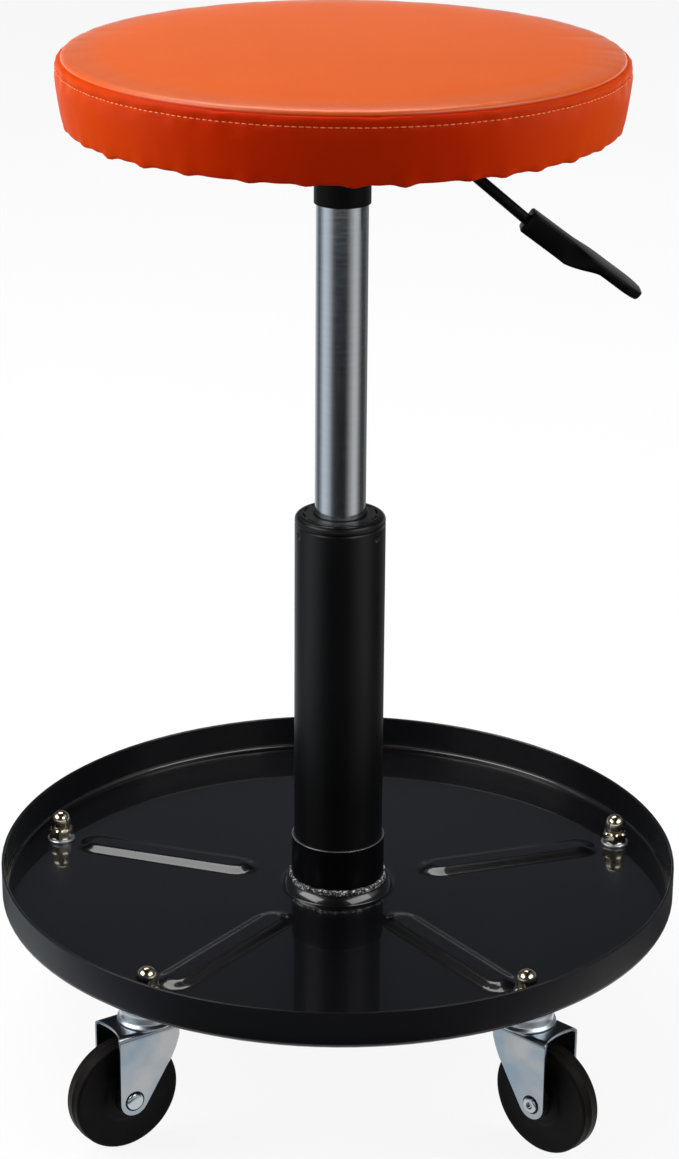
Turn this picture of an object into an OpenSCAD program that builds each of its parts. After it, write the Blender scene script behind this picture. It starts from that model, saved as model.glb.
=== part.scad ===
// Rolling work stool: a round padded seat on a gas lift, a steel tool tray and five swivel casters.
// Millimetres, +Z up, origin on the floor under the column's axis, +X to the lever's side, -Y to the front.

/* [Tray] */
// Outer diameter of the tray
tray_d = 382; // [360:1:450]
// Height of the tray from its underside to the rim's top edge
tray_h = 21.8; // [14:0.1:40]
// Thickness of the tray's sheet steel
tray_sheet = 1.5; // [1:0.1:2.5]
// Outside radius of the fold between floor and rim
tray_fold_r = 4; // [3:0.5:6]
// Distance from the axis to the inner end of a pressed rib
rib_start_r = 50.5; // [46:0.5:80]
// Distance from a caster stem to the outer end of the rib that points at it
rib_gap = 13.3; // [8.5:0.1:50]
// Width of a pressed rib at the floor
rib_w = 22.8; // [16:0.2:30]
// Width of the flat on top of a pressed rib
rib_top_w = 10; // [6:0.2:14]
// Height of a pressed rib
rib_h = 2.3; // [1:0.1:4]
// Radius of the foot of the raised collar round the socket
collar_foot_r = 36; // [34:0.5:44]
// Radius of the crest of the raised collar
collar_crest_r = 31.4; // [30.5:0.1:33]
// Height of the collar's crest above the tray floor
collar_h = 5.6; // [3:0.1:8]
// Depth of the trough between the crest and the weld
collar_dip = 1.2; // [0.5:0.1:2]

/* [Column] */
// Outer diameter of the outer column
column_d = 50; // [49:0.5:52]
// Wall of the outer column
column_wall = 1.5; // [1.2:0.1:2.5]
// Length of the outer column
column_l = 240; // [220:1:300]
// Thickness of the column's bottom
column_floor_t = 4; // [3:0.1:6]
// Length of column below the tray's underside
column_drop = 14.8; // [11:0.2:18]
// Radius of the column's rolled top edge
column_roll_r = 2.6; // [1.8:0.1:3]
// Wall of the base socket
socket_wall = 1.2; // [1:0.1:2]
// Length of base socket above the tray floor
socket_up = 34.2; // [20:0.2:60]
// Length of base socket below the tray floor
socket_down = 10.3; // [6:0.1:13]
// Width of the weld bead where it lies on the collar
weld_w = 2.4; // [1.5:0.1:3]
// Height of the weld bead on the socket
weld_h = 3.4; // [2:0.1:5]

/* [Gas lift] */
// Outer diameter of the sliding tube
tube_d = 28; // [27:0.5:30]
// Wall of the sliding tube
tube_wall = 1.8; // [1.2:0.1:2.4]
// Length of tube showing between column and hub with the seat at its highest
tube_show = 174.5; // [140:0.5:200]
// Travel of the seat
lift_travel = 120; // [80:1:125]
// Gap left between the tube and the bumper with the seat at its lowest
bumper_gap = 4.7; // [3:0.1:8]
// Length of tube left below the guide bush at the highest seat
tube_tail = 4; // [2:0.5:8]
// Diameter of the piston rod
rod_d = 10; // [9:0.5:11]
// Diameter of the necks at both ends of the piston rod
rod_neck_d = 8; // [7:0.5:8.5]
// Length of the rubber bumper
bumper_l = 20; // [10:1:22]
// Length of the piston
piston_l = 12; // [8:0.5:16]
// Length of the rod guide in the tube's bottom
rod_guide_l = 12; // [8:0.5:20]
// Length of the valve body in the tube's top
valve_l = 30; // [20:0.5:40]
// Diameter of the release pin
pin_d = 6; // [5:0.5:8]
// Height of the release pin above the tube
pin_up = 5; // [4.5:0.1:8]

/* [Seat support] */
// Outer diameter of the seat hub
hub_d = 30.5; // [30.4:0.1:34]
// Length of hub below the lever housing
hub_drop = 21.5; // [15:0.5:30]
// Height of the lever housing, flanges included
housing_h = 22.5; // [21:0.5:30]
// Sheet thickness of the lever housing
housing_sheet = 2; // [1.5:0.1:3]
// Inside width of the lever housing
housing_w = 32; // [31.5:0.5:40]
// Length of the lever housing
housing_l = 95; // [90:1:120]
// Width of each flange of the lever housing
flange_w = 12; // [8:0.5:20]
// Side of the square seat plate
plate_w = 150; // [140:1:170]
// Thickness of the seat plate
plate_t = 2.5; // [2:0.1:4]
// Corner radius of the seat plate
plate_corner_r = 14; // [8:0.5:20]
// Distance between seat bolts
bolt_pitch = 116; // [108:1:124]

/* [Seat] */
// Widest diameter of the cushion
seat_d = 299.6; // [290:0.2:330]
// Thickness of the plywood board
board_t = 12; // [10:0.5:18]
// Height of the seam above the board's underside
seam_h = 31.7; // [31:0.1:45]
// Height of the crown above the seam
crown_h = 5.8; // [4.5:0.1:12]
// Amount that the band draws in from its widest line to the board's edge
band_draw = 5.6; // [5:0.1:8]
// Thickness of the vinyl cover
cover_t = 1.3; // [1:0.1:1.6]
// Drop of the puckered lower edge below the board
hem_drop = 3; // [2:0.1:4]
// Width of the hem that is turned under the board
hem_w = 22; // [18:0.5:30]
// Number of puckers in the lower edge
pucker_count = 22; // [16:1:26]
// Depth of a pucker
pucker_h = 1.3; // [0.5:0.1:1.6]
// Number of staples that hold the hem
staple_count = 24; // [12:1:36]

/* [Lever] */
// Diameter of the lever rod
lever_d = 6; // [5:0.1:6.4]
// Distance from the lift's axis to the lever's pivot
lever_arm = 40; // [36:0.5:41]
// Distance from the lift's axis to the bend of the rod
bend_x = 50; // [48:0.5:56]
// Length of rod between the bend and the handle
lever_show = 61.4; // [50:0.2:75]
// Slope of the rod below level
rod_slope = 40; // [25:0.5:45]
// Slope of the handle below level
handle_slope = 36.5; // [25:0.5:45]
// Length of the handle
handle_l = 74; // [66:0.5:90]
// Width of the handle at its mouth
mouth_w = 13.6; // [12:0.2:16]
// Height of the handle at its mouth
mouth_h = 12.6; // [11:0.2:15]
// Width of the handle's blade
blade_w = 24.4; // [20:0.2:30]
// Thickness of the handle's blade
blade_t = 5.2; // [4:0.1:6]

/* [Casters] */
// Distance from the tray's edge to a caster stem
stem_inset = 19.7; // [16:0.1:22]
// Diameter of a wheel
wheel_d = 62; // [55:0.5:64]
// Width of the tread
tread_w = 11.5; // [9:0.5:14]
// Gap between the wheel's top and the fork's crown
wheel_gap = 6.9; // [6:0.1:12]
// Trail from stem to axle
caster_trail = 16.3; // [14:0.1:18]
// Outside width of a fork
fork_w = 26.8; // [26:0.1:30]
// Sheet thickness of a fork
fork_sheet = 1.6; // [1.2:0.1:2]
// Radius of a fork's rounded end
fork_end_r = 8.3; // [7.5:0.1:9]
// Outer radius of the bends beside a fork's crown
fork_bend_r = 3; // [2.2:0.1:4]
// Depth of the round cut in the crown's trailing edge
crown_cut = 2.7; // [1:0.1:4]
// Height of the ball race between crown and tray
race_h = 10.3; // [9.5:0.1:14]
// Radius of the raceway cup's lower lip
cup_r = 16.3; // [16:0.1:17]
// Diameter of an axle
axle_d = 6; // [5:0.1:7]
// Diameter of a stem bolt
stem_d = 8; // [7:0.1:8.4]
// Width of a cap nut across its flats
nut_af = 13; // [12.5:0.1:14]
// Height of a cap nut
nut_h = 16.5; // [15:0.1:18]

/* [Hidden] */

// Colours, as the photograph shows them
black_paint = "#17181b";
black_plastic = "#141414";
steel_grey = "#8f979c";
zinc = "#b9c2c9";
nickel = "#b8ae9a";
brass_tone = "#a98f5c";
rubber_black = "#2b2b2d";
orange_vinyl = "#dd5a22";
foam_cream = "#e6dcb4";
plywood = "#c29b66";

// Clearances and cuts
running_fit = 0.05;
static_fit = 0.05;
seat_gap = 0.3;
cut = 1;
full_turn = 360;
turn_fn = 96;
small_fn = 48;
ball_fn = 24;

// Points of a round stretch of an outline
function arc(centre, r, a0, a1, steps) =
  [for (k = [0:steps]) centre + r * [cos(a0 + (a1 - a0) * k / steps), sin(a0 + (a1 - a0) * k / steps)]];
arc_steps = 6;

// Casters, numbered anticlockwise from the rear: where each stem stands and where its wheel trails
stem_count = 5;
rear_angle = 90;
stem_angles = [for (k = [0:stem_count - 1]) rear_angle + full_turn * k / stem_count];
trail_angles = [190, 80, 214, -43.5, 100];

// Heights of the base, from the floor up
wheel_r = wheel_d / 2;
crown_under_z = wheel_d + wheel_gap;
crown_top_z = crown_under_z + fork_sheet;
tray_z = crown_top_z + race_h;
tray_floor_z = tray_z + tray_sheet;
tray_r = tray_d / 2;
stem_r = tray_r - stem_inset;
rib_end_r = stem_r - rib_gap;

// Column and socket
column_r = column_d / 2;
column_in_r = column_r - column_wall;
column_z = tray_z - column_drop;
column_top_z = column_z + column_l;
socket_in_r = column_r + static_fit;
socket_out_r = socket_in_r + socket_wall;
column_lip_w = 1.9;
column_lip_r = column_in_r - column_lip_w;
groove_drop = 4.6;
groove_h = 1.6;
groove_t = 0.4;
dimple_angles = [85, 205, 325];
dimple_r = 5;
dimple_t = 0.7;
dimple_drop = 9;

// Thrust bearing, bumper and piston rod, from the column's floor up
rod_r = rod_d / 2;
neck_r = rod_neck_d / 2;
race_t = 2;
ball_d = 3.2;
race_gap = 0.05;
bearing_r = 12;
ball_ring_r = 8.2;
bearing_ball_count = 10;
cage_t = 1.6;
lower_race_z = column_z + column_floor_t;
bearing_ball_z = lower_race_z + race_t + race_gap + ball_d / 2;
upper_race_z = bearing_ball_z + ball_d / 2 + race_gap;
rod_z = upper_race_z + race_t;
bumper_r = 11;
clip_t = 1.2;
clip_r = 7;
clip_groove = 1;
clip_z = column_z - seat_gap - clip_t;
rod_tail = 2.6;
rod_end_z = clip_z - rod_tail;

// Sliding tube and what is in it
tube_r = tube_d / 2;
tube_in_r = tube_r - tube_wall;
tube_z = rod_z + bumper_l + bumper_gap + lift_travel;
guide_z = tube_z + tube_tail;
guide_l = column_top_z - guide_z;
hub_z = column_top_z + tube_show;
housing_z = hub_z + hub_drop;
hub_rise = 1.2;
hub_top_z = housing_z + housing_sheet + hub_rise;
tube_inset = 2;
tube_top_z = hub_top_z - tube_inset;
tube_crimp_t = 1.5;
tube_crimp = 3;
rod_guide_z = tube_z + tube_crimp_t;
rod_seal_l = 5;
rod_seal_z = rod_guide_z + rod_guide_l;
piston_space = 2;
piston_z = rod_seal_z + rod_seal_l + piston_space;
piston_r = tube_in_r - 2 * running_fit;
seal_t = 2;
rod_head_l = 2;
rod_top_z = piston_z + piston_l + rod_head_l;
valve_z = tube_top_z - tube_crimp_t - valve_l;
pin_r = pin_d / 2;
pin_l = 24;
pin_top_z = tube_top_z + pin_up;
pin_chamfer = 1;

// Lever housing, plate and board
housing_half = housing_w / 2;
housing_start_x = bend_x - housing_l;
web_end = 2;
web_end_x = lever_arm + web_end;
plate_z = housing_z + housing_h;
board_z = plate_z + plate_t;
board_top_z = board_z + board_t;
seat_bolt_d = 6;
seat_bolt_af = 10;
seat_bolt_head_h = 4;
lock_washer_t = 1.4;
lock_washer_r = 5.4;
seat_bolt_l = 9;
tee_flange_r = 9.5;
tee_flange_t = 1.2;
tee_barrel_r = 3.9;
tee_barrel_l = 9;
bolt_x = bolt_pitch / 2;

// Cushion
seat_r = seat_d / 2;
board_r = seat_r - band_draw;
seam_z = board_z + seam_h;
crown_z = seam_z + crown_h;
hem_z = board_z - cover_t;
band_h = seam_z - board_z;
skin = cover_t + static_fit;

// Lever
lever_r = lever_d / 2;
lever_z = pin_top_z + seat_gap + lever_r;
lever_inner_x = -5;
pivot_d = 5;
pivot_r = pivot_d / 2;
sleeve_r = 5;
sleeve_gap = 0.8;
pivot_head_r = 4;
pivot_head_t = 1.5;
pivot_tail = 2;
lever_in_handle = 30;
socket_end = 2;
bend_at = [bend_x, lever_z];
knuckle_up = 0.1;
knuckle_r = lever_r + knuckle_up;
mouth_at = bend_at + lever_show * [cos(rod_slope), -sin(rod_slope)];
taper_start_share = 0.4;
taper_end_share = 0.64;
spread_start_share = 0.33;
spread_end_share = 0.56;

// Casters
fork_half = fork_w / 2;
fork_in_half = fork_half - fork_sheet;
crown_front_x = -10.5;
lead_knee_x = -5;
lead_knee_drop = 22;
lead_top_drop = 8.5;
lead_knee_z = crown_top_z - lead_knee_drop;
lead_top_z = crown_top_z - lead_top_drop;
fork_back_x = caster_trail + fork_end_r;
crown_cut_half = fork_in_half - fork_sheet / 2;
crown_cut_r = (pow(crown_cut_half, 2) + pow(crown_cut, 2)) / (2 * crown_cut);
axle_r = axle_d / 2;
axle_head_r = 5.2;
axle_head_t = 1.8;
axle_roll_r = 4.9;
axle_roll_t = 1.2;
axle_hollow_r = 2;
axle_hollow_l = 3;
bush_wall = 1.5;
bush_r = axle_r + bush_wall;
hub_gap = 0.5;
hub_wall = 4;
hub_r = bush_r + hub_wall;
boss_r = 13;
boss_t = 1.1;
tread_round = 1;
tread_ridge = 0.25;
ridge_w = 0.9;
stem_rad = stem_d / 2;
stem_head_r = 7;
stem_head_h = 3.6;
stem_head_z = crown_under_z - seat_gap - stem_head_h;
washer_t = 1.6;
washer_r = 8;
nut_z = tray_floor_z + washer_t;
nut_hex_h = 6.5;
nut_dome_r = 5.9;
nut_bore_l = 9.5;
cup_top_r = 13.6;
cup_wall = 1.4;
cup_lip_h = 1.2;
caster_ball_d = 4.8;
caster_ball_ring_r = 10.6;
caster_ball_count = 9;
cup_z = crown_top_z + seat_gap;
caster_ball_z = crown_top_z + race_gap + caster_ball_d / 2;
cup_roof_z = caster_ball_z + caster_ball_d / 2 + race_gap;

// Shared shapes
module at_stems() {
  for (a = stem_angles) rotate([0, 0, a]) translate([stem_r, 0, 0]) children();
}

module tube(r_out, r_in, h) {
  difference() {
    cylinder(r = r_out, h = h, $fn = turn_fn);
    translate([0, 0, -cut]) cylinder(r = r_in, h = h + 2 * cut, $fn = turn_fn);
  }
}

module spun(points) {
  rotate_extrude($fn = turn_fn) polygon(points);
}

module hexagon_bar(across_flats, h) {
  cylinder(d = across_flats / cos(full_turn / 12), h = h, $fn = 6);
}

module rounded_plate(w, r, t) {
  linear_extrude(t) {
    square([w - 2 * r, w], center = true);
    square([w, w - 2 * r], center = true);
    for (x = [-1, 1], y = [-1, 1]) translate([x, y] * (w / 2 - r)) circle(r = r, $fn = small_fn);
  }
}

// Base
collar_edge_r = socket_out_r + static_fit;
collar_trough_r = socket_out_r + weld_w;
collar_trough_z = tray_sheet + collar_h - collar_dip;
collar_round_r = collar_crest_r - collar_trough_r;
collar_top = concat(
  [[collar_edge_r, collar_trough_z], [collar_trough_r, collar_trough_z]],
  arc([collar_crest_r, collar_trough_z + collar_dip - collar_round_r], collar_round_r, 135, 20, arc_steps),
  [[collar_foot_r, tray_sheet]]);
// Outline of the tray's sheet, along its underside to the rim and back along its top
tray_outline = concat(
  [for (p = collar_top) p - [0, tray_sheet]],
  arc([tray_r - tray_fold_r, tray_fold_r], tray_fold_r, -90, 0, arc_steps),
  [[tray_r, tray_h], [tray_r - tray_sheet, tray_h]],
  arc([tray_r - tray_fold_r, tray_fold_r], tray_fold_r - tray_sheet, 0, -90, arc_steps),
  [for (k = [len(collar_top) - 1:-1:0]) collar_top[k]]);

// A rib's raised shape, with a skirt that reaches below it
module rib_form(skirt) {
  bar_l = rib_end_r - rib_start_r - rib_w;
  foot = rib_w / 2;
  top = rib_top_w / 2;
  translate([rib_start_r + foot, 0, 0]) {
    rotate([90, 0, 90]) linear_extrude(bar_l)
      polygon([[-foot, -skirt], [foot, -skirt], [foot, 0], [top, rib_h], [-top, rib_h], [-foot, 0]]);
    for (x = [0, bar_l]) translate([x, 0, 0])
      spun([[0, -skirt], [foot, -skirt], [foot, 0], [top, rib_h], [0, rib_h]]);
  }
}

module tray() {
  color(black_paint) translate([0, 0, tray_z]) difference() {
    union() {
      spun(tray_outline);
      for (a = stem_angles) rotate([0, 0, a]) translate([0, 0, tray_sheet]) rib_form(tray_sheet / 2);
    }
    for (a = stem_angles) rotate([0, 0, a]) rib_form(cut);
    at_stems() translate([0, 0, -cut])
      cylinder(r = stem_rad + static_fit, h = tray_sheet + 2 * cut, $fn = small_fn);
  }
}

module base_socket() {
  color(black_paint) translate([0, 0, tray_floor_z - socket_down])
    tube(socket_out_r, socket_in_r, socket_up + socket_down);
}

module weld_bead() {
  bead_z = tray_z + collar_trough_z;
  bead_r = socket_out_r + static_fit;
  color(black_paint) spun([
    [bead_r, bead_z],
    [bead_r + weld_w, bead_z],
    [bead_r + weld_w * 0.85, bead_z + weld_h * 0.45],
    [bead_r + weld_w * 0.45, bead_z + weld_h * 0.85],
    [bead_r, bead_z + weld_h]]);
}

module column() {
  groove_z = column_l - groove_drop;
  color(black_paint) translate([0, 0, column_z]) difference() {
    spun(concat(
      [[neck_r + running_fit, 0], [column_r, 0]],
      [[column_r, groove_z - groove_h / 2], [column_r - groove_t, groove_z]],
      [[column_r, groove_z + groove_h / 2]],
      arc([column_r - column_roll_r, column_l - column_roll_r], column_roll_r, 0, 90, arc_steps),
      [[column_lip_r, column_l], [column_lip_r, column_l - column_wall]],
      [[column_in_r, column_l - column_wall], [column_in_r, column_floor_t]],
      [[neck_r + running_fit, column_floor_t]]));
    for (a = dimple_angles) rotate([0, 0, a])
      translate([column_r + dimple_r - dimple_t, 0, column_l - dimple_drop])
        sphere(r = dimple_r, $fn = small_fn);
  }
}

guide_slots = 12;
slot_angle = 20;
slot_w = 1;
slot_t = 3;
guide_chamfer = 1.2;
guide_up = 0.4;

module guide_bush() {
  guide_r = column_in_r - static_fit;
  shoulder_z = guide_l - column_wall - static_fit;
  face_z = guide_l + guide_up;
  neck = column_lip_r - static_fit;
  bore = tube_r + running_fit;
  color(black_plastic) translate([0, 0, guide_z]) difference() {
    spun([[bore, 0], [guide_r, 0], [guide_r, shoulder_z], [neck, shoulder_z], [neck, face_z],
      [bore + guide_chamfer, face_z], [bore, face_z - guide_chamfer]]);
    for (k = [0:guide_slots - 1])
      rotate([0, 0, full_turn * k / guide_slots]) translate([0, 0, face_z - slot_t])
        rotate_extrude(angle = slot_angle, $fn = turn_fn)
          translate([neck - 2 * slot_w, 0]) square([slot_w, slot_t + cut]);
  }
}

module stem_bolts() {
  color(zinc) at_stems() translate([0, 0, stem_head_z]) {
    cylinder(r = stem_head_r, h = stem_head_h, $fn = small_fn);
    cylinder(r = stem_rad, h = nut_z + nut_bore_l - seat_gap - stem_head_z, $fn = small_fn);
  }
}

module cap_nuts() {
  dome_z = nut_h - nut_dome_r;
  color(nickel) at_stems() translate([0, 0, nut_z]) difference() {
    union() {
      intersection() {
        hexagon_bar(nut_af, nut_hex_h);
        cylinder(r1 = nut_af / 2 + nut_hex_h * 1.2, r2 = nut_af / 2, h = nut_hex_h, $fn = small_fn);
      }
      cylinder(r = nut_dome_r, h = dome_z, $fn = small_fn);
      translate([0, 0, dome_z]) sphere(r = nut_dome_r, $fn = small_fn);
    }
    translate([0, 0, -cut]) cylinder(r = stem_rad + static_fit, h = nut_bore_l + cut, $fn = small_fn);
    translate([0, 0, -nut_dome_r - cut]) cylinder(r = nut_af, h = nut_dome_r + cut, $fn = small_fn);
  }
}

module stem_washers() {
  color(nickel) at_stems() translate([0, 0, tray_floor_z]) tube(washer_r, stem_rad + static_fit, washer_t);
}

module raceway_cups() {
  cup_in_r = caster_ball_ring_r + caster_ball_d / 2 + seat_gap;
  color(zinc) at_stems() spun([
    [stem_rad + static_fit, cup_roof_z],
    [cup_in_r, cup_roof_z],
    [cup_in_r, cup_z + cup_lip_h],
    [cup_in_r + seat_gap, cup_z],
    [cup_r, cup_z],
    [cup_r, cup_z + cup_lip_h / 2],
    [cup_in_r + cup_wall, cup_z + cup_lip_h],
    [cup_in_r + cup_wall, cup_roof_z + cup_wall / 2],
    [cup_top_r, tray_z],
    [stem_rad + static_fit, tray_z]]);
}

module caster_balls() {
  color(zinc) at_stems() for (k = [0:caster_ball_count - 1]) rotate([0, 0, full_turn * k / caster_ball_count])
    translate([caster_ball_ring_r, 0, caster_ball_z]) sphere(d = caster_ball_d, $fn = ball_fn);
}

// Thrust bearing and piston rod
module lower_race() {
  color(steel_grey) translate([0, 0, lower_race_z]) tube(bearing_r, neck_r + running_fit, race_t);
}

module bearing_cage() {
  color(brass_tone) translate([0, 0, bearing_ball_z - cage_t / 2]) difference() {
    tube(bearing_r - seat_gap, neck_r + 2 * running_fit, cage_t);
    for (k = [0:bearing_ball_count - 1]) rotate([0, 0, full_turn * k / bearing_ball_count])
      translate([ball_ring_r, 0, -cut])
        cylinder(d = ball_d + 2 * running_fit, h = cage_t + 2 * cut, $fn = ball_fn);
  }
}

module bearing_balls() {
  color(steel_grey) for (k = [0:bearing_ball_count - 1]) rotate([0, 0, full_turn * k / bearing_ball_count])
    translate([ball_ring_r, 0, bearing_ball_z]) sphere(d = ball_d, $fn = ball_fn);
}

module upper_race() {
  color(steel_grey) translate([0, 0, upper_race_z]) tube(bearing_r, neck_r + static_fit, race_t);
}

module retaining_clip() {
  color(steel_grey) translate([0, 0, clip_z]) difference() {
    tube(clip_r, neck_r - clip_groove + static_fit, clip_t);
    translate([0, -clip_groove, -cut]) cube([clip_r + cut, 2 * clip_groove, clip_t + 2 * cut]);
  }
}

module piston_rod() {
  groove_r = neck_r - clip_groove;
  color(steel_grey) spun([
    [0, rod_end_z],
    [neck_r, rod_end_z],
    [neck_r, clip_z - static_fit],
    [groove_r, clip_z - static_fit],
    [groove_r, clip_z + clip_t + static_fit],
    [neck_r, clip_z + clip_t + static_fit],
    [neck_r, rod_z],
    [rod_r, rod_z],
    [rod_r, piston_z],
    [neck_r, piston_z],
    [neck_r, piston_z + piston_l],
    [rod_r, piston_z + piston_l],
    [neck_r, rod_top_z],
    [0, rod_top_z]]);
}

module bumper() {
  color(rubber_black) translate([0, 0, rod_z]) tube(bumper_r, rod_r + static_fit, bumper_l);
}

module piston() {
  color(steel_grey) translate([0, 0, piston_z]) difference() {
    tube(piston_r, neck_r + static_fit, piston_l);
    translate([0, 0, (piston_l - seal_t) / 2]) tube(piston_r + cut, piston_r - seal_t, seal_t);
  }
}

module piston_seal() {
  color(rubber_black) translate([0, 0, piston_z + (piston_l - seal_t) / 2])
    tube(tube_in_r - running_fit, piston_r - seal_t + static_fit, seal_t);
}

// Sliding tube
module gas_tube() {
  color(steel_grey) spun([
    [tube_in_r - tube_crimp, tube_z],
    [tube_r, tube_z],
    [tube_r, tube_top_z],
    [pin_r + tube_crimp, tube_top_z],
    [pin_r + tube_crimp, tube_top_z - tube_crimp_t],
    [tube_in_r, tube_top_z - tube_crimp_t],
    [tube_in_r, tube_z + tube_crimp_t],
    [tube_in_r - tube_crimp, tube_z + tube_crimp_t]]);
}

module rod_guide() {
  color(black_plastic) translate([0, 0, rod_guide_z])
    tube(tube_in_r - static_fit, rod_r + running_fit, rod_guide_l);
}

module rod_seal() {
  color(rubber_black) translate([0, 0, rod_seal_z])
    tube(tube_in_r - static_fit, rod_r + running_fit, rod_seal_l);
}

module valve_body() {
  color(black_plastic) translate([0, 0, valve_z])
    tube(tube_in_r - static_fit, pin_r + running_fit, valve_l);
}

module valve_pin() {
  color(steel_grey) spun([
    [0, pin_top_z - pin_l],
    [pin_r, pin_top_z - pin_l],
    [pin_r, pin_top_z - pin_chamfer],
    [pin_r - pin_chamfer, pin_top_z],
    [0, pin_top_z]]);
}

// Seat support
module seat_hub() {
  color(black_paint) translate([0, 0, hub_z]) tube(hub_d / 2, tube_r + static_fit, hub_top_z - hub_z);
}

module lever_housing() {
  out = housing_half + housing_sheet;
  side_top = housing_h - housing_sheet;
  color(black_paint) translate([0, 0, housing_z]) difference() {
    rotate([90, 0, 90]) translate([0, 0, housing_start_x]) linear_extrude(housing_l) polygon([
      [-out - flange_w, housing_h], [-out - flange_w, side_top], [-out, side_top], [-out, 0],
      [out, 0], [out, side_top], [out + flange_w, side_top], [out + flange_w, housing_h],
      [housing_half, housing_h], [housing_half, housing_sheet], [-housing_half, housing_sheet],
      [-housing_half, housing_h]]);
    translate([0, 0, -cut]) cylinder(r = hub_d / 2 + static_fit, h = housing_sheet + 2 * cut, $fn = turn_fn);
    translate([web_end_x, -housing_half, -cut]) cube([bend_x, housing_w, housing_sheet + 2 * cut]);
    translate([lever_arm, out + cut, lever_z - housing_z]) rotate([90, 0, 0])
      cylinder(r = pivot_r + static_fit, h = 2 * (out + cut), $fn = small_fn);
  }
}

module at_seat_bolts() {
  for (x = [-bolt_x, bolt_x], y = [-bolt_x, bolt_x]) translate([x, y, 0]) children();
}

module seat_plate() {
  color(black_paint) translate([0, 0, plate_z]) difference() {
    rounded_plate(plate_w, plate_corner_r, plate_t);
    at_seat_bolts() translate([0, 0, -cut])
      cylinder(r = seat_bolt_d / 2 + seat_gap, h = plate_t + 2 * cut, $fn = small_fn);
  }
}

module seat_bolts() {
  color(zinc) at_seat_bolts() {
    translate([0, 0, plate_z - lock_washer_t - seat_bolt_head_h]) hexagon_bar(seat_bolt_af, seat_bolt_head_h);
    translate([0, 0, plate_z - lock_washer_t])
      cylinder(d = seat_bolt_d, h = lock_washer_t + plate_t + seat_bolt_l, $fn = small_fn);
  }
}

module lock_washers() {
  color(zinc) at_seat_bolts() translate([0, 0, plate_z - lock_washer_t])
    tube(lock_washer_r, seat_bolt_d / 2 + static_fit, lock_washer_t);
}

module tee_nuts() {
  color(zinc) at_seat_bolts() translate([0, 0, board_top_z - tee_flange_t]) difference() {
    union() {
      cylinder(r = tee_flange_r, h = tee_flange_t, $fn = small_fn);
      translate([0, 0, tee_flange_t - tee_barrel_l])
        cylinder(r = tee_barrel_r, h = tee_barrel_l, $fn = small_fn);
    }
    translate([0, 0, -tee_barrel_l - cut])
      cylinder(r = seat_bolt_d / 2 + static_fit, h = tee_barrel_l + tee_flange_t + 2 * cut, $fn = small_fn);
  }
}

module seat_board() {
  color(plywood) translate([0, 0, board_z]) difference() {
    cylinder(r = board_r, h = board_t, $fn = turn_fn);
    at_seat_bolts() {
      translate([0, 0, -cut]) cylinder(r = tee_barrel_r + static_fit, h = board_t + 2 * cut, $fn = small_fn);
      translate([0, 0, board_t - tee_flange_t])
        cylinder(r = tee_flange_r + static_fit, h = tee_flange_t + cut, $fn = small_fn);
    }
  }
}

// Cushion: the foam's outline, from the board's top edge to the crown
foam_top = [
  [seat_r - skin - band_draw * 0.3, board_top_z],
  [seat_r - skin, board_z + band_h * 0.7],
  [seat_r - skin, board_z + band_h * 0.83],
  [seat_r - skin - band_draw * 0.15, board_z + band_h * 0.92],
  [seat_r - skin - band_draw * 0.6, seam_z - cover_t * 0.9],
  [seat_r - skin - band_draw * 0.95, seam_z - skin + crown_h * 0.22],
  [seat_r * 0.92, seam_z - skin + crown_h * 0.47],
  [seat_r * 0.7, seam_z - skin + crown_h * 0.76],
  [seat_r * 0.37, seam_z - skin + crown_h * 0.93],
  [0, seam_z - skin + crown_h]];

module seat_foam() {
  color(foam_cream) spun(concat([[0, board_top_z]], foam_top));
}

// Rows of the cover, from the hem to the crown: radius and height
cover_rows = [
  [seat_r - band_draw * 1.9, hem_z],
  [seat_r - band_draw * 1.05, board_z - hem_drop],
  [seat_r - band_draw * 0.58, board_z + hem_drop * 0.1],
  [seat_r - band_draw * 0.27, board_z + band_h * 0.32],
  [seat_r - band_draw * 0.04, board_z + band_h * 0.66],
  [seat_r, board_z + band_h * 0.83],
  [seat_r - band_draw * 0.14, board_z + band_h * 0.94],
  [seat_r - band_draw * 0.52, seam_z],
  [seat_r - band_draw * 0.7, seam_z + crown_h * 0.24],
  [seat_r * 0.92, seam_z + crown_h * 0.5],
  [seat_r * 0.7, seam_z + crown_h * 0.77],
  [seat_r * 0.37, seam_z + crown_h * 0.94]];
// How far a pucker moves a row, as shares of its depth: inwards and up. Rows past the list stay still
pucker_shares = [[0, 0], [0, 1], [0.7, 0.3], [0.3, 0]];
function pucker_share(n) = n < len(pucker_shares) ? pucker_shares[n] : [0, 0];
cover_sides = 90;
// A pucker's fold at an angle: 0 on a bulge and 1 in the crease between two bulges
function fold(a) = pow(abs(cos(a * pucker_count / 2 + 40 * sin(3 * a) + 25 * cos(5 * a))), 2);
function cover_ring(n) = [for (k = [0:cover_sides - 1])
  let (a = full_turn * k / cover_sides, move = pucker_h * fold(a) * pucker_share(n))
  let (r = cover_rows[n].x - move.x)
  [r * cos(a), r * sin(a), cover_rows[n].y + move.y]];
cover_points = concat(
  [[0, 0, hem_z]],
  [for (n = [0:len(cover_rows) - 1]) each cover_ring(n)],
  [[0, 0, crown_z]]);
cover_last = len(cover_points) - 1;
cover_faces = concat(
  [for (k = [0:cover_sides - 1]) [0, 1 + k, 1 + (k + 1) % cover_sides]],
  [for (j = [0:len(cover_rows) - 2], k = [0:cover_sides - 1])
    let (n = (k + 1) % cover_sides, low = 1 + j * cover_sides, high = low + cover_sides)
    each [[low + k, high + k, high + n], [low + k, high + n, low + n]]],
  [for (k = [0:cover_sides - 1])
    let (low = 1 + (len(cover_rows) - 1) * cover_sides)
    [low + k, cover_last, low + (k + 1) % cover_sides]]);

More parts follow.
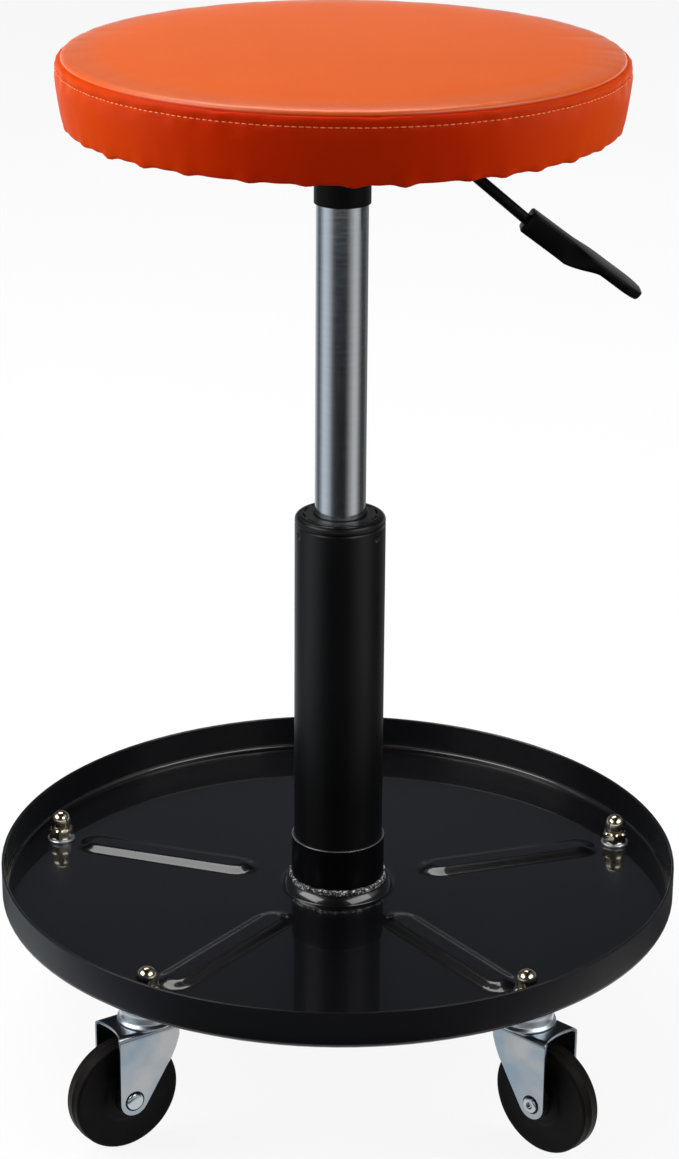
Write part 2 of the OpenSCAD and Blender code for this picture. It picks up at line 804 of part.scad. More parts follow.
module seat_cover() {
  hem_in_r = board_r - hem_w;
  color(orange_vinyl) difference() {
    polyhedron(points = cover_points, faces = cover_faces);
    spun(concat(
      [[0, hem_z - cut], [hem_in_r, hem_z - cut], [hem_in_r, board_z], [board_r + static_fit, board_z]],
      [[board_r + static_fit, board_top_z - static_fit]],
      [[foam_top[0].x + static_fit, board_top_z - static_fit]],
      [for (p = foam_top) p.x > 0 ? p + [static_fit, static_fit] : p + [0, static_fit]]));
  }
}

staple_w = 10;
staple_wire = 1;
staple_l = 7;

module cover_staples() {
  staple_r = board_r - hem_w / 2;
  color(steel_grey) for (k = [0:staple_count - 1]) rotate([0, 0, full_turn * (k + 0.5) / staple_count])
    translate([staple_r, 0, hem_z - staple_wire]) rotate([90, 0, 90]) linear_extrude(staple_wire) polygon([
      [-staple_w / 2, 0], [staple_w / 2, 0], [staple_w / 2, staple_l],
      [staple_w / 2 - staple_wire, staple_l], [staple_w / 2 - staple_wire, staple_wire],
      [staple_wire - staple_w / 2, staple_wire], [staple_wire - staple_w / 2, staple_l],
      [-staple_w / 2, staple_l]]);
}

// Lever
module along_y(x, z) {
  translate([x, 0, z]) rotate([90, 0, 0]) children();
}

pin_half = housing_half + housing_sheet + static_fit;

module pivot_pin() {
  color(steel_grey) along_y(lever_arm, lever_z) {
    translate([0, 0, -pin_half - pivot_tail])
      cylinder(r = pivot_r, h = 2 * pin_half + pivot_tail, $fn = small_fn);
    translate([0, 0, pin_half]) cylinder(r = pivot_head_r, h = pivot_head_t, $fn = small_fn);
  }
}

module pivot_clip() {
  color(steel_grey) along_y(lever_arm, lever_z) translate([0, 0, -pin_half - clip_t])
    tube(pivot_head_r, pivot_r + static_fit, clip_t);
}

module lever_rod() {
  sleeve_l = housing_w - 2 * sleeve_gap;
  color(black_paint) difference() {
    union() {
      translate([lever_inner_x, 0, lever_z]) rotate([0, 90, 0])
        cylinder(r = lever_r, h = bend_x - lever_inner_x, $fn = small_fn);
      translate([bend_at.x, 0, bend_at.y]) {
        sphere(r = knuckle_r, $fn = small_fn);
        rotate([0, 90 + rod_slope, 0])
          cylinder(r = lever_r, h = lever_show + lever_in_handle, $fn = small_fn);
      }
      along_y(lever_arm, lever_z) translate([0, 0, -sleeve_l / 2])
        cylinder(r = sleeve_r, h = sleeve_l, $fn = small_fn);
    }
    along_y(lever_arm, lever_z) translate([0, 0, -housing_w])
      cylinder(r = pivot_r + running_fit, h = 2 * housing_w, $fn = small_fn);
  }
}

module lever_handle() {
  low = -mouth_h / 2;
  high = mouth_h / 2;
  tip_r = blade_w / 2;
  color(black_plastic) translate([mouth_at.x, 0, mouth_at.y]) rotate([0, handle_slope, 0]) difference() {
    intersection() {
      translate([0, 0, low]) linear_extrude(mouth_h) polygon(concat(
        [[0, mouth_w / 2], [0, -mouth_w / 2], [handle_l * spread_start_share, -mouth_w / 2]],
        [[handle_l * spread_end_share, -tip_r]],
        arc([handle_l - tip_r, 0], tip_r, -90, 90, 2 * arc_steps),
        [[handle_l * spread_end_share, tip_r], [handle_l * spread_start_share, mouth_w / 2]]));
      rotate([90, 0, 0]) translate([0, 0, -blade_w]) linear_extrude(2 * blade_w) polygon([
        [0, low], [handle_l * taper_start_share, low], [handle_l * taper_end_share, high - blade_t],
        [handle_l, high - blade_t], [handle_l, high], [0, high]]);
    }
    rotate([0, 90 + rod_slope - handle_slope, 0]) translate([0, 0, -cut])
      cylinder(r = lever_r + static_fit, h = lever_in_handle + cut + socket_end, $fn = small_fn);
  }
}

// Casters: the stem's axis is the local origin, the wheel trails along local +X
module at_caster(k) {
  rotate([0, 0, stem_angles[k]]) translate([stem_r, 0, 0]) rotate([0, 0, trail_angles[k] - stem_angles[k]])
    children();
}

module at_axle(k) {
  at_caster(k) translate([caster_trail, 0, wheel_r]) rotate([-90, 0, 0]) children();
}

axle_at = [caster_trail, wheel_r];
knee_at = [lead_knee_x, lead_knee_z];
knee_reach = norm(knee_at - axle_at);
lead_angle = atan2(knee_at.y - axle_at.y, knee_at.x - axle_at.x) + acos(fork_end_r / knee_reach);
leg_outline = concat(
  [[crown_front_x, crown_top_z], [crown_front_x, lead_top_z]],
  [[(crown_front_x * 2 + lead_knee_x) / 3, (lead_top_z + lead_knee_z) / 2 + fork_sheet / 2]],
  [knee_at],
  arc(axle_at, fork_end_r, lead_angle, full_turn, 3 * arc_steps),
  [[fork_back_x, crown_top_z]]);
crown_section = concat(
  [[-fork_half, 0]],
  arc([fork_bend_r - fork_half, crown_top_z - fork_bend_r], fork_bend_r, 180, 90, arc_steps),
  arc([fork_half - fork_bend_r, crown_top_z - fork_bend_r], fork_bend_r, 90, 0, arc_steps),
  [[fork_half, 0], [fork_in_half, 0]],
  arc([fork_half - fork_bend_r, crown_top_z - fork_bend_r], fork_bend_r - fork_sheet, 0, 90, arc_steps),
  arc([fork_bend_r - fork_half, crown_top_z - fork_bend_r], fork_bend_r - fork_sheet, 90, 180, arc_steps),
  [[-fork_in_half, 0]]);

module caster_fork(k) {
  color(zinc) at_caster(k) difference() {
    intersection() {
      rotate([90, 0, 90]) translate([0, 0, crown_front_x - cut])
        linear_extrude(fork_back_x - crown_front_x + 2 * cut) polygon(crown_section);
      rotate([90, 0, 0]) translate([0, 0, -fork_w]) linear_extrude(2 * fork_w) polygon(leg_outline);
    }
    translate([0, 0, crown_under_z - cut])
      cylinder(r = stem_rad + running_fit, h = fork_sheet + 2 * cut, $fn = small_fn);
    translate([fork_back_x - crown_cut + crown_cut_r, 0, crown_top_z - fork_bend_r - cut])
      cylinder(r = crown_cut_r, h = fork_bend_r + 2 * cut, $fn = turn_fn);
    translate([caster_trail, fork_w, wheel_r]) rotate([90, 0, 0])
      cylinder(r = axle_r + static_fit, h = 2 * fork_w, $fn = small_fn);
  }
}

module caster_wheel(k) {
  tread = tread_w / 2;
  face_r = wheel_r - tread_ridge;
  hub = fork_in_half - hub_gap;
  half = concat(
    [[ridge_w / 2, face_r]],
    arc([tread - tread_round, face_r - tread_round], tread_round, 90, 0, arc_steps),
    [[tread, boss_r + boss_t], [tread + boss_t, boss_r], [tread + boss_t, hub_r + boss_t], [hub, hub_r]],
    [[hub, bush_r + running_fit]]);
  outline = concat(
    [[0, wheel_r]],
    half,
    [for (n = [len(half) - 1:-1:0]) [-half[n].x, half[n].y]]);
  color(rubber_black) at_axle(k) rotate_extrude($fn = turn_fn) polygon([for (p = outline) [p.y, p.x]]);
}

module caster_axle(k) {
  color(zinc) at_axle(k) difference() {
    spun([
      [0, -fork_half - axle_roll_t],
      [axle_roll_r * 0.8, -fork_half - axle_roll_t],
      [axle_roll_r, -fork_half - axle_roll_t * 0.4],
      [axle_roll_r, -fork_half],
      [axle_r, -fork_half],
      [axle_r, fork_half],
      [axle_head_r, fork_half],
      [axle_head_r * 0.92, fork_half + axle_head_t * 0.45],
      [axle_head_r * 0.65, fork_half + axle_head_t * 0.85],
      [0, fork_half + axle_head_t]]);
    translate([0, 0, -fork_half - axle_roll_t - cut])
      cylinder(r = axle_hollow_r, h = axle_hollow_l + cut, $fn = small_fn);
  }
}

module caster_bush(k) {
  color(steel_grey) at_axle(k) translate([0, 0, static_fit - fork_in_half])
    tube(bush_r, axle_r + static_fit, 2 * (fork_in_half - static_fit));
}

tray();
base_socket();
weld_bead();
column();
guide_bush();
stem_bolts();
cap_nuts();
stem_washers();
raceway_cups();
caster_balls();
lower_race();
bearing_cage();
bearing_balls();
upper_race();
retaining_clip();
piston_rod();
bumper();
piston();
piston_seal();
gas_tube();
rod_guide();
rod_seal();
valve_body();
valve_pin();
seat_hub();
lever_housing();
seat_plate();
seat_bolts();
lock_washers();
tee_nuts();
seat_board();
seat_foam();
seat_cover();
cover_staples();
pivot_pin();
pivot_clip();
lever_rod();
lever_handle();
caster_fork(0);  // caster_fork_1
caster_fork(1);  // caster_fork_2
caster_fork(2);  // caster_fork_3
caster_fork(3);  // caster_fork_4
caster_fork(4);  // caster_fork_5
caster_wheel(0);  // caster_wheel_1
caster_wheel(1);  // caster_wheel_2
caster_wheel(2);  // caster_wheel_3
caster_wheel(3);  // caster_wheel_4
caster_wheel(4);  // caster_wheel_5
caster_axle(0);  // caster_axle_1
caster_axle(1);  // caster_axle_2
caster_axle(2);  // caster_axle_3
caster_axle(3);  // caster_axle_4
caster_axle(4);  // caster_axle_5
caster_bush(0);  // caster_bush_1
caster_bush(1);  // caster_bush_2
caster_bush(2);  // caster_bush_3
caster_bush(3);  // caster_bush_4
caster_bush(4);  // caster_bush_5
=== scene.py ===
import math

import bmesh
import bpy
import numpy as np
from mathutils import Matrix, Vector


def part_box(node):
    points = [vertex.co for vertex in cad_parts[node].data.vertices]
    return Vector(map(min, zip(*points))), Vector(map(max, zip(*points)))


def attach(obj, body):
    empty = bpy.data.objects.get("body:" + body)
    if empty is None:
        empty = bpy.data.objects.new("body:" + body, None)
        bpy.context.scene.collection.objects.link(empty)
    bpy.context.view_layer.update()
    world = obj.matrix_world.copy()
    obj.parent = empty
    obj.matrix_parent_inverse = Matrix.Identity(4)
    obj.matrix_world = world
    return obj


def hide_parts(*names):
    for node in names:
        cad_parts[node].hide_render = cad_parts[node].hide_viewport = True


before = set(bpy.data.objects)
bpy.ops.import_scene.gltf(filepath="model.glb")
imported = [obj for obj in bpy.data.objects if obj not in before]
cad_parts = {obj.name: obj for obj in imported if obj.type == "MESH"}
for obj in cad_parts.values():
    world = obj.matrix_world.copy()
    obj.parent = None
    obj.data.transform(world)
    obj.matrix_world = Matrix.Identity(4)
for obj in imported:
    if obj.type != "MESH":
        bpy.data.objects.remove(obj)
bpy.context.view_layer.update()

# Studio. A pale floor that stays white behind the stool and takes its soft shadow, a tall soft panel at
# each side, and soft boxes in front and above that glossy surfaces mirror. A ring of grey cards round the
# stool is seen in reflections only: dark in front and pale at the sides, it draws the bands on the tube.
MM = 0.001


def setup(thing, **settings):
    """Gives a thing its settings, in order."""
    for key, value in settings.items():
        setattr(thing, key, value)
    return thing


class Wire:
    """A socket that takes part in sums: each operator adds a Math node, with a number on either side."""

    def __init__(self, graph, socket):
        self.graph = graph
        self.socket = socket

    def math(self, operation, *values, clamp=False):
        settings = {"operation": operation, "use_clamp": clamp}
        return self.graph.node("ShaderNodeMath", settings, dict(enumerate(values)))

    def __add__(self, other):
        return self.math("ADD", self, other)

    def __sub__(self, other):
        return self.math("SUBTRACT", self, other)

    def __rsub__(self, other):
        return self.math("SUBTRACT", other, self)

    def __mul__(self, other):
        return self.math("MULTIPLY", self, other)

    def __rmul__(self, other):
        return self.math("MULTIPLY", other, self)

    def __truediv__(self, other):
        return self.math("DIVIDE", self, other)

    def __rtruediv__(self, other):
        return self.math("DIVIDE", other, self)

    def __pow__(self, other):
        return self.math("POWER", self, other)


class Graph:
    """A node tree that is built by one method."""

    def __init__(self, tree):
        self.tree = tree

    def node(self, kind, settings=None, sockets=None, out=0):
        """Adds a node: its settings first, then its sockets, each a value or a Wire. Gives one output."""
        made = setup(self.tree.nodes.new(kind), **(settings or {}))
        for key, value in (sockets or {}).items():
            if isinstance(value, Wire):
                self.tree.links.new(value.socket, made.inputs[key])
            else:
                made.inputs[key].default_value = value
        return Wire(self, made.outputs[out])

    def ramp(self, wire, stops):
        """A colour that follows wire through stops, each a place and a grey level or a colour."""
        made = self.tree.nodes.new("ShaderNodeValToRGB")
        elements = made.color_ramp.elements
        while len(elements) < len(stops):
            elements.new(0.5)
        for element, (place, tone) in zip(elements, stops):
            element.position = place
            element.color = tone if isinstance(tone, tuple) else grey(tone)
        self.tree.links.new(wire.socket, made.inputs[0])
        return Wire(self, made.outputs[0])

    def mix(self, factor, low, high):
        """A colour between low and high."""
        return self.node("ShaderNodeMix", {"data_type": "RGBA"}, {0: factor, 6: low, 7: high}, out=2)


class Finish(Graph):
    """A material: constants sit on the shader's own sockets, and feed() links what changes from place to
    place."""

    def __init__(self, name, constants):
        self.material = bpy.data.materials.new(name)
        self.material.use_nodes = True
        super().__init__(self.material.node_tree)
        self.shader = self.tree.nodes["Principled BSDF"]
        for socket, value in constants.items():
            self.shader.inputs[socket].default_value = value

    def feed(self, socket, wire):
        self.tree.links.new(wire.socket, self.shader.inputs[socket])

    def tone(self, factor, low, high):
        """Feeds a colour between low and high, both written as the screen shows them."""
        self.feed("Base Color", self.mix(factor, linear(*low), linear(*high)))

    def gloss(self, factor, low, high, start=0.0, end=1.0):
        """Feeds a roughness from low to high as factor goes from start to end."""
        self.feed("Roughness", self.spread(factor, low, high, start, end))

    def marked(self, name):
        """The number that a mesh holds for each of its points under a name."""
        return self.node("ShaderNodeAttribute", {"attribute_name": name}, out="Fac")

    def place(self, scale=(1, 1, 1)):
        """The point on the object, in metres times scale."""
        point = self.node("ShaderNodeTexCoord", out="Object")
        return self.node("ShaderNodeMapping", {}, {"Vector": point, "Scale": scale})

    def along(self, axis):
        """How far along an axis the point lies, in metres."""
        return self.node("ShaderNodeSeparateXYZ", {}, {0: self.place()}, out=axis)

    def out_from_axis(self):
        """How far the point lies from the column's axis, in metres."""
        return self.node("ShaderNodeVectorMath", {"operation": "LENGTH"}, {
            0: self.place(scale=(1, 1, 0))}, out="Value")

    def noise(self, scale, detail=3, rough=0.5, place=None):
        return self.node("ShaderNodeTexNoise", {}, {
            "Vector": place or self.place(), "Scale": scale, "Detail": detail, "Roughness": rough})

    def spread(self, wire, low, high, start=0.0, end=1.0):
        """A number from low to high as wire goes from start to end."""
        return self.node("ShaderNodeMapRange", {}, {
            "Value": wire, "From Min": start, "From Max": end, "To Min": low, "To Max": high})

    def relief(self, height, depth, strength=1.0):
        """Bump from a height of 0 to 1 that stands for depth in metres."""
        self.feed("Normal", self.node("ShaderNodeBump", {}, {
            "Height": height, "Distance": depth, "Strength": strength}, out="Normal"))


def linear(red, green, blue):
    """A colour written as the screen shows it, 0 to 255, as the shader's own numbers."""
    shares = (c / 255 for c in (red, green, blue))
    return (*(((s + 0.055) / 1.055) ** 2.4 if s > 0.04 else s / 12.92 for s in shares), 1)


def linked(name, data):
    """A new object in the scene."""
    obj = bpy.data.objects.new(name, data)
    bpy.context.scene.collection.objects.link(obj)
    return obj


def shaped(name, verts, faces, edges=(), unit=1):
    """A new object with its mesh, from points in metres or in another unit."""
    mesh = bpy.data.meshes.new(name)
    mesh.from_pydata((np.asarray(verts) * unit).tolist(), edges, faces)
    return linked(name, mesh)


def grey(level):
    return (level, level, level, 1)


def arc(centre, radius, start, end, steps=6):
    """Points of a round stretch of an outline."""
    return [(centre[0] + radius * math.cos(a), centre[1] + radius * math.sin(a))
            for a in np.radians(np.linspace(start, end, steps + 1))]


def spun(outline, angles=96, reach=None):
    """Vertices and faces of a closed outline of (radius, height) turned round the vertical axis.
    reach(radius, height, angle) may change a point's radius, as on a hexagon."""
    turns = np.radians(np.linspace(0, 360, angles, endpoint=False) if isinstance(angles, int) else angles)
    verts, rows = [], []
    for r, z in outline:
        if r < 1e-6:
            rows.append([len(verts)] * len(turns))
            verts.append((0, 0, z))
            continue
        rows.append(range(len(verts), len(verts) + len(turns)))
        for a in turns:
            real = reach(r, z, a) if reach else r
            verts.append((real * math.cos(a), real * math.sin(a), z))
    faces = []
    for low, high in zip(rows, rows[1:] + rows[:1]):
        for k in range(len(turns)):
            n = (k + 1) % len(turns)
            face = list(dict.fromkeys((low[k], low[n], high[n], high[k])))
            if len(face) > 2:
                faces.append(face)
    return np.array(verts, float), faces


floor_size = 14.0
floor_white_share = 0.9
floor = shaped("studio_floor", [(-1, -1, 0), (1, -1, 0), (1, 1, 0), (-1, 1, 0)], [(0, 1, 2, 3)],
               unit=floor_size)
floor_look = Finish("studio_floor", {"Roughness": 0.9, "Specular IOR Level": 0.0})
by_camera, by_mirror, by_glass = (floor_look.node("ShaderNodeLightPath", out=ray) for ray in (
    "Is Camera Ray", "Is Glossy Ray", "Is Transmission Ray"))
seen = by_camera.math("ADD", by_camera, by_mirror, clamp=True)
seen = seen.math("ADD", seen, by_glass, clamp=True)
floor_look.feed("Base Color", floor_look.mix(seen, grey(0.2), grey(0.95)))
white = floor_look.node("ShaderNodeEmission", {}, {"Color": grey(1), "Strength": 1.0})
lit = Wire(floor_look, floor_look.shader.outputs[0])
both = floor_look.node("ShaderNodeMixShader", {}, {0: seen * floor_white_share, 1: lit, 2: white})
floor_look.tree.links.new(both.socket, floor_look.tree.nodes["Material Output"].inputs["Surface"])
floor.data.materials.append(floor_look.material)

# Levels of the cards by the angle round the stool, from behind over the left side, the front and the right
card_levels = [(-180, 0.3), (-155, 0.7), (-135, 0.3), (-116, 0.1), (-98, 0.4), (-84, 0.72), (-70, 0.7),
               (-52, 0.44), (-38, 0.12), (-26, 0.04), (0, 0.015), (18, 0.025), (28, 0.11), (42, 0.34),
               (58, 0.58), (72, 0.56), (88, 0.2), (102, 0.05), (122, 0.07), (145, 0.22), (165, 0.2),
               (180, 0.3)]
near_levels = [(-180, 0.3), (-130, 0.6), (-110, 0.6), (-92, 0.42), (-80, 0.35), (-65, 0.2), (-45, 0.12),
               (-25, 0.15), (0, 0.17), (25, 0.14), (45, 0.1), (65, 0.12), (80, 0.18), (95, 0.12), (115, 0.2),
               (135, 0.2), (180, 0.3)]
left_tint, right_tint = np.array([0.92, 1, 1.06]), np.array([1.02, 1, 0.98])
card_in_r, card_out_r, card_up = 0.25, 2.6, 0.002
near_fade_in, near_fade_out = (0.32, 0.35), (0.41, 0.47)
card_outline = [(card_in_r, card_up), (card_out_r, card_up), (card_out_r, 0.5 * card_up),
                (card_in_r, 0.5 * card_up)]
cards = shaped("studio_cards", *spun(card_outline))
card_look = Finish("studio_cards", {})
across, ahead = card_look.along("X"), card_look.along("Y")
turn = across.math("ARCTAN2", across, 0 - ahead) / math.tau + 0.5
far_card, near_card = (card_look.ramp(turn, [
    (a / 360 + 0.5, (*(level * (right_tint if a > 0 else left_tint)), 1)) for a, level in levels])
    for levels in (card_levels, near_levels))
card_out = card_look.out_from_axis()
on_near = card_look.spread(card_out, 0, 1, *near_fade_in) * card_look.spread(card_out, 1, 0, *near_fade_out)
card_colour = card_look.mix(on_near, far_card, near_card)
glow = card_look.node("ShaderNodeEmission", {}, {"Color": card_colour, "Strength": 1.0})
card_look.tree.links.new(glow.socket, card_look.tree.nodes["Material Output"].inputs["Surface"])
card_look.material.cycles.emission_sampling = "NONE"
cards.data.materials.append(card_look.material)
setup(cards, visible_camera=False, visible_diffuse=False, visible_shadow=False, visible_transmission=False)

world = bpy.data.worlds.new("studio")
bpy.context.scene.world = world
world.use_nodes = True
sky = Graph(world.node_tree)
way = sky.node("ShaderNodeTexCoord", out="Generated")
way_x, way_y, way_z = (sky.node("ShaderNodeSeparateXYZ", {}, {0: way}, out=axis) for axis in "XYZ")
to_front = 0 - way_y
way_turn = way_x.math("ARCTAN2", way_x, to_front) / math.tau + 0.5
back_shade = (0.085, 0.09, 0.108, 1)
low_front_level = 0.8
side_levels = [(-180, 0.01), (-140, 0.01), (-112, 0.3), (-95, 0.95), (-68, 0.95), (-48, 0.45), (-30, 0.05),
               (0, 0.03), (26, 0.04), (46, 0.4), (64, 0.8), (90, 0.8), (110, 0.2), (140, 0.01), (180, 0.01)]
side_shade = sky.ramp(way_turn, [(a / 360 + 0.5, level) for a, level in side_levels])
above_shade = sky.ramp(way_z, [(0, 0.7), (0.09, 0.6), (0.16, back_shade), (0.44, back_shade), (0.54, 0.01)])
low = sky.ramp(way_z, [(0, 1), (0.2, 1), (0.32, 0)])
high = sky.ramp(way_z, [(0.48, 0), (0.58, 1), (0.84, 1), (0.94, 0)])
low_front = low * to_front.math("MULTIPLY", to_front, 3, clamp=True)
shade = sky.mix(high, sky.mix(low_front, above_shade, grey(low_front_level)), side_shade)
sky.tree.links.new(shade.socket, sky.tree.nodes["Background"].inputs["Color"])


def soft_light(name, place, aim_up, width, height, power):
    """A soft panel of light, aimed at a height on the stool's axis."""
    lamp = setup(bpy.data.lights.new(name, "AREA"), shape="RECTANGLE", size=width, size_y=height,
                 energy=power)
    turned = (Vector(place) - Vector((0, 0, aim_up))).to_track_quat("Z", "Y").to_euler()
    return setup(linked(name, lamp), location=place, rotation_euler=turned, visible_camera=False)


for panel in (soft_light("panel_left", (-1.8, 0, 0.75), 0.42, 1.6, 1.9, 38),
              soft_light("panel_right", (1.8, 0, 0.75), 0.42, 1.6, 1.9, 30),
              soft_light("fill_above", (-0.8, 0.5, 2.25), 0.5, 1.5, 1.3, 22)):
    panel.visible_glossy = False
for box in (soft_light("box_left", (-1.34, -0.52, 1.49), 0.1, 1.5, 0.8, 15),
            soft_light("box_right", (1.18, -0.83, 1.49), 0.1, 1.5, 0.8, 12)):
    box.visible_diffuse = False
soft_light("box_above", (-0.24, 1.17, 2.15), 0.3, 1.3, 0.86, 12)

# Camera. It stands 1.6 m in front of the stool's axis and 0.88 m above the floor, and looks down at 21
# degrees. Place, lens and roll come from a fit to edges of the column, tray, seat and casters in the photo.
focal_px, photo_long_side = 3075.8, 1159
camera_side, camera_back, camera_height = -0.00016, 1.58396, 0.87538
camera_pitch, camera_roll = 20.994, 0.416
lens = bpy.data.cameras.new("camera")
lens.lens = focal_px / photo_long_side * lens.sensor_width
tilt = (Matrix.Rotation(math.radians(90 - camera_pitch), 3, "X")
        @ Matrix.Rotation(math.radians(camera_roll), 3, "Z"))
camera = setup(linked("camera", lens), location=(camera_side, -camera_back, camera_height),
               rotation_euler=tilt.to_euler())
bpy.context.scene.camera = camera
bpy.context.scene.view_settings.view_transform = "Standard"

# Tray. Round tray pressed from 1.5 mm sheet, with an upright rim, five raised ribs and a collar round the
# socket, in glossy black powder coat. Rim, floor and ribs are the CAD tray's. The collar follows a later
# reading of the photo, and its foot lies 3 mm further in.
tray_low, tray_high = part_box("tray")
tray_r = tray_high.x / MM
tray_z = tray_low.z / MM
tray_h = (tray_high.z - tray_low.z) / MM
tray_sheet, tray_fold_r, rim_edge = 1.5, 4.0, 0.55
tray_side_start = 8.0
collar_foot_r, collar_fillet, collar_slope_r, collar_shoulder_r, collar_dip = 33.0, 1.0, 14.0, 1.2, 0.3
slope_low, slope_high, shoulder_start = 28, 48, 110
socket_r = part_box("base_socket")[1].x / MM
weld_w, weld_h = 1.6, 2.8
rib = {"Start": 61.9, "End": 146.6, "Foot": 11.4, "Top": 5.0, "Height": 2.3}
rib_count, first_rib_angle, rib_side_angle = 5, 18.0, 15


def piece(name, verts, faces, look, body, node, slot, sharp=35):
    """A finished mesh from points in millimetres, which rides on a body and stands for a CAD node."""
    obj = shaped(name, verts, faces, unit=MM)
    mesh = obj.data
    edit = bmesh.new()
    edit.from_mesh(mesh)
    bmesh.ops.remove_doubles(edit, verts=edit.verts, dist=1e-7)
    bmesh.ops.recalc_face_normals(edit, faces=edit.faces)
    edit.to_mesh(mesh)
    edit.free()
    mesh.shade_smooth()
    mesh.set_sharp_from_angle(angle=math.radians(sharp))
    mesh.materials.append(look.material)
    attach(obj, body)
    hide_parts(node)
    return obj


def dress(look, *nodes):
    """Gives CAD nodes, whose shape is right, their finish."""
    for name in nodes:
        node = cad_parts[name]
        node.data.materials.clear()
        node.data.materials.append(look.material)


def built(obj, graph_name, look, values, build):
    """Runs a node tree over an object's mesh and gives it the result as its plain mesh."""
    tree = bpy.data.node_groups.new(graph_name, "GeometryNodeTree")
    graph = Graph(tree)
    tree.interface.new_socket("Geometry", in_out="INPUT", socket_type="NodeSocketGeometry")
    for key, value in values.items():
        kind = "NodeSocketInt" if isinstance(value, int) else "NodeSocketFloat"
        tree.interface.new_socket(key, in_out="INPUT", socket_type=kind)
    tree.interface.new_socket("Geometry", in_out="OUTPUT", socket_type="NodeSocketGeometry")
    source = tree.nodes.new("NodeGroupInput")
    inputs = {s.name: Wire(graph, s) for s in source.outputs if s.name}
    made = build(graph, inputs)
    real = graph.node("GeometryNodeRealizeInstances", {}, {0: made})
    coated = graph.node("GeometryNodeSetMaterial", {}, {0: real, "Material": look.material})
    end = tree.nodes.new("NodeGroupOutput")
    tree.links.new(coated.socket, end.inputs[0])
    run = obj.modifiers.new(graph_name, "NODES")
    run.node_group = tree
    for item in tree.interface.items_tree:
        if item.in_out == "INPUT" and item.name in values:
            run[item.identifier] = values[item.name]
    bpy.context.view_layer.update()
    shown = obj.evaluated_get(bpy.context.evaluated_depsgraph_get())
    mesh = bpy.data.meshes.new_from_object(shown)
    obj.modifiers.remove(run)
    obj.data = mesh
    mesh.materials.clear()
    mesh.materials.append(look.material)
    mesh.shade_smooth()
    return obj


def on_circle(degrees):
    """The unit step from a circle's centre at this angle."""
    return np.array((math.cos(math.radians(degrees)), math.sin(math.radians(degrees))))


tray_look = Finish("tray_gloss_black", {"Specular IOR Level": 0.32, "Coat Roughness": 0.03, "Coat IOR": 1.5})
cloud = tray_look.noise(9)
inside = tray_look.spread(tray_look.out_from_axis(), 1, 0, (tray_r - 1.2) * MM, (tray_r - 0.6) * MM)
# Painted light and shade: the tray's one black powder coat gets a darker base inside the tray and a lighter
# one on the rim's outer face. These are lit and shaded copies of the same paint.
paint = tray_look.mix(inside, linear(18, 18, 23), linear(5, 5, 7))
tray_look.feed("Base Color", tray_look.mix(cloud * 0.35, paint, linear(16, 16, 20)))
under = tray_look.spread(tray_look.along("Z"), 1, 0, (tray_z + 0.5) * MM, (tray_z + 1.0) * MM)
tray_look.feed("Coat Weight", (inside * 0.94 + 0.04) * (1 - under))
tray_look.feed("Roughness", tray_look.spread(cloud, 0.2, 0.3) + under * 0.5)
tray_look.relief(tray_look.noise(2600, 2), 0.00002, 0.25)

fillet_centre = np.array((collar_foot_r, tray_sheet + collar_fillet))
slope_centre = fillet_centre - (collar_slope_r + collar_fillet) * on_circle(slope_low)
shoulder_centre = slope_centre + (collar_slope_r - collar_shoulder_r) * on_circle(slope_high)
collar_trough_z = shoulder_centre[1] + collar_shoulder_r - collar_dip
collar_top = [(socket_r + 0.05, collar_trough_z), (socket_r + weld_w - 0.2, collar_trough_z)]
collar_top += arc(shoulder_centre, collar_shoulder_r, shoulder_start, slope_high, 8)
collar_top += arc(slope_centre, collar_slope_r, slope_high, slope_low, 12)[1:]
collar_top += arc(fillet_centre, collar_fillet, 180 + slope_low, 270)[1:]
floor_radii = np.linspace(collar_foot_r + 2, tray_r - tray_fold_r - 1, 62)
side_heights = np.linspace(tray_side_start, tray_h - rim_edge - 0.4, 4)
fold_centre = (tray_r - tray_fold_r, tray_fold_r)
tray_outline = [(r, z - tray_sheet) for r, z in collar_top]
tray_outline += [(r, 0) for r in floor_radii]
tray_outline += arc(fold_centre, tray_fold_r, -90, 0, 8)
tray_outline += [(tray_r, z) for z in side_heights]
tray_outline += arc((tray_r - rim_edge, tray_h - rim_edge), rim_edge, 0, 90, 4)
tray_outline += arc((tray_r - tray_sheet + rim_edge, tray_h - rim_edge), rim_edge, 90, 180, 4)
tray_outline += [(tray_r - tray_sheet, z) for z in side_heights[::-1]]
tray_outline += arc(fold_centre, tray_fold_r - tray_sheet, 0, -90, 8)
tray_outline += [(r, tray_sheet) for r in floor_radii[::-1]]
tray_outline += collar_top[::-1]

rib_turn = 360 / rib_count
near_rib = np.linspace(-rib_side_angle, rib_side_angle, 61)
between_ribs = np.linspace(rib_side_angle, rib_turn - rib_side_angle, 15)[1:-1]
tray_angles = [first_rib_angle + rib_turn * k + a
               for k in range(rib_count) for a in (*near_rib, *between_ribs)]
tray_verts, tray_faces = spun(tray_outline, tray_angles)
tray_verts[:, 2] += tray_z
tray = piece("tool_tray", tray_verts, tray_faces, tray_look, "base", "tray", "tray_paint")


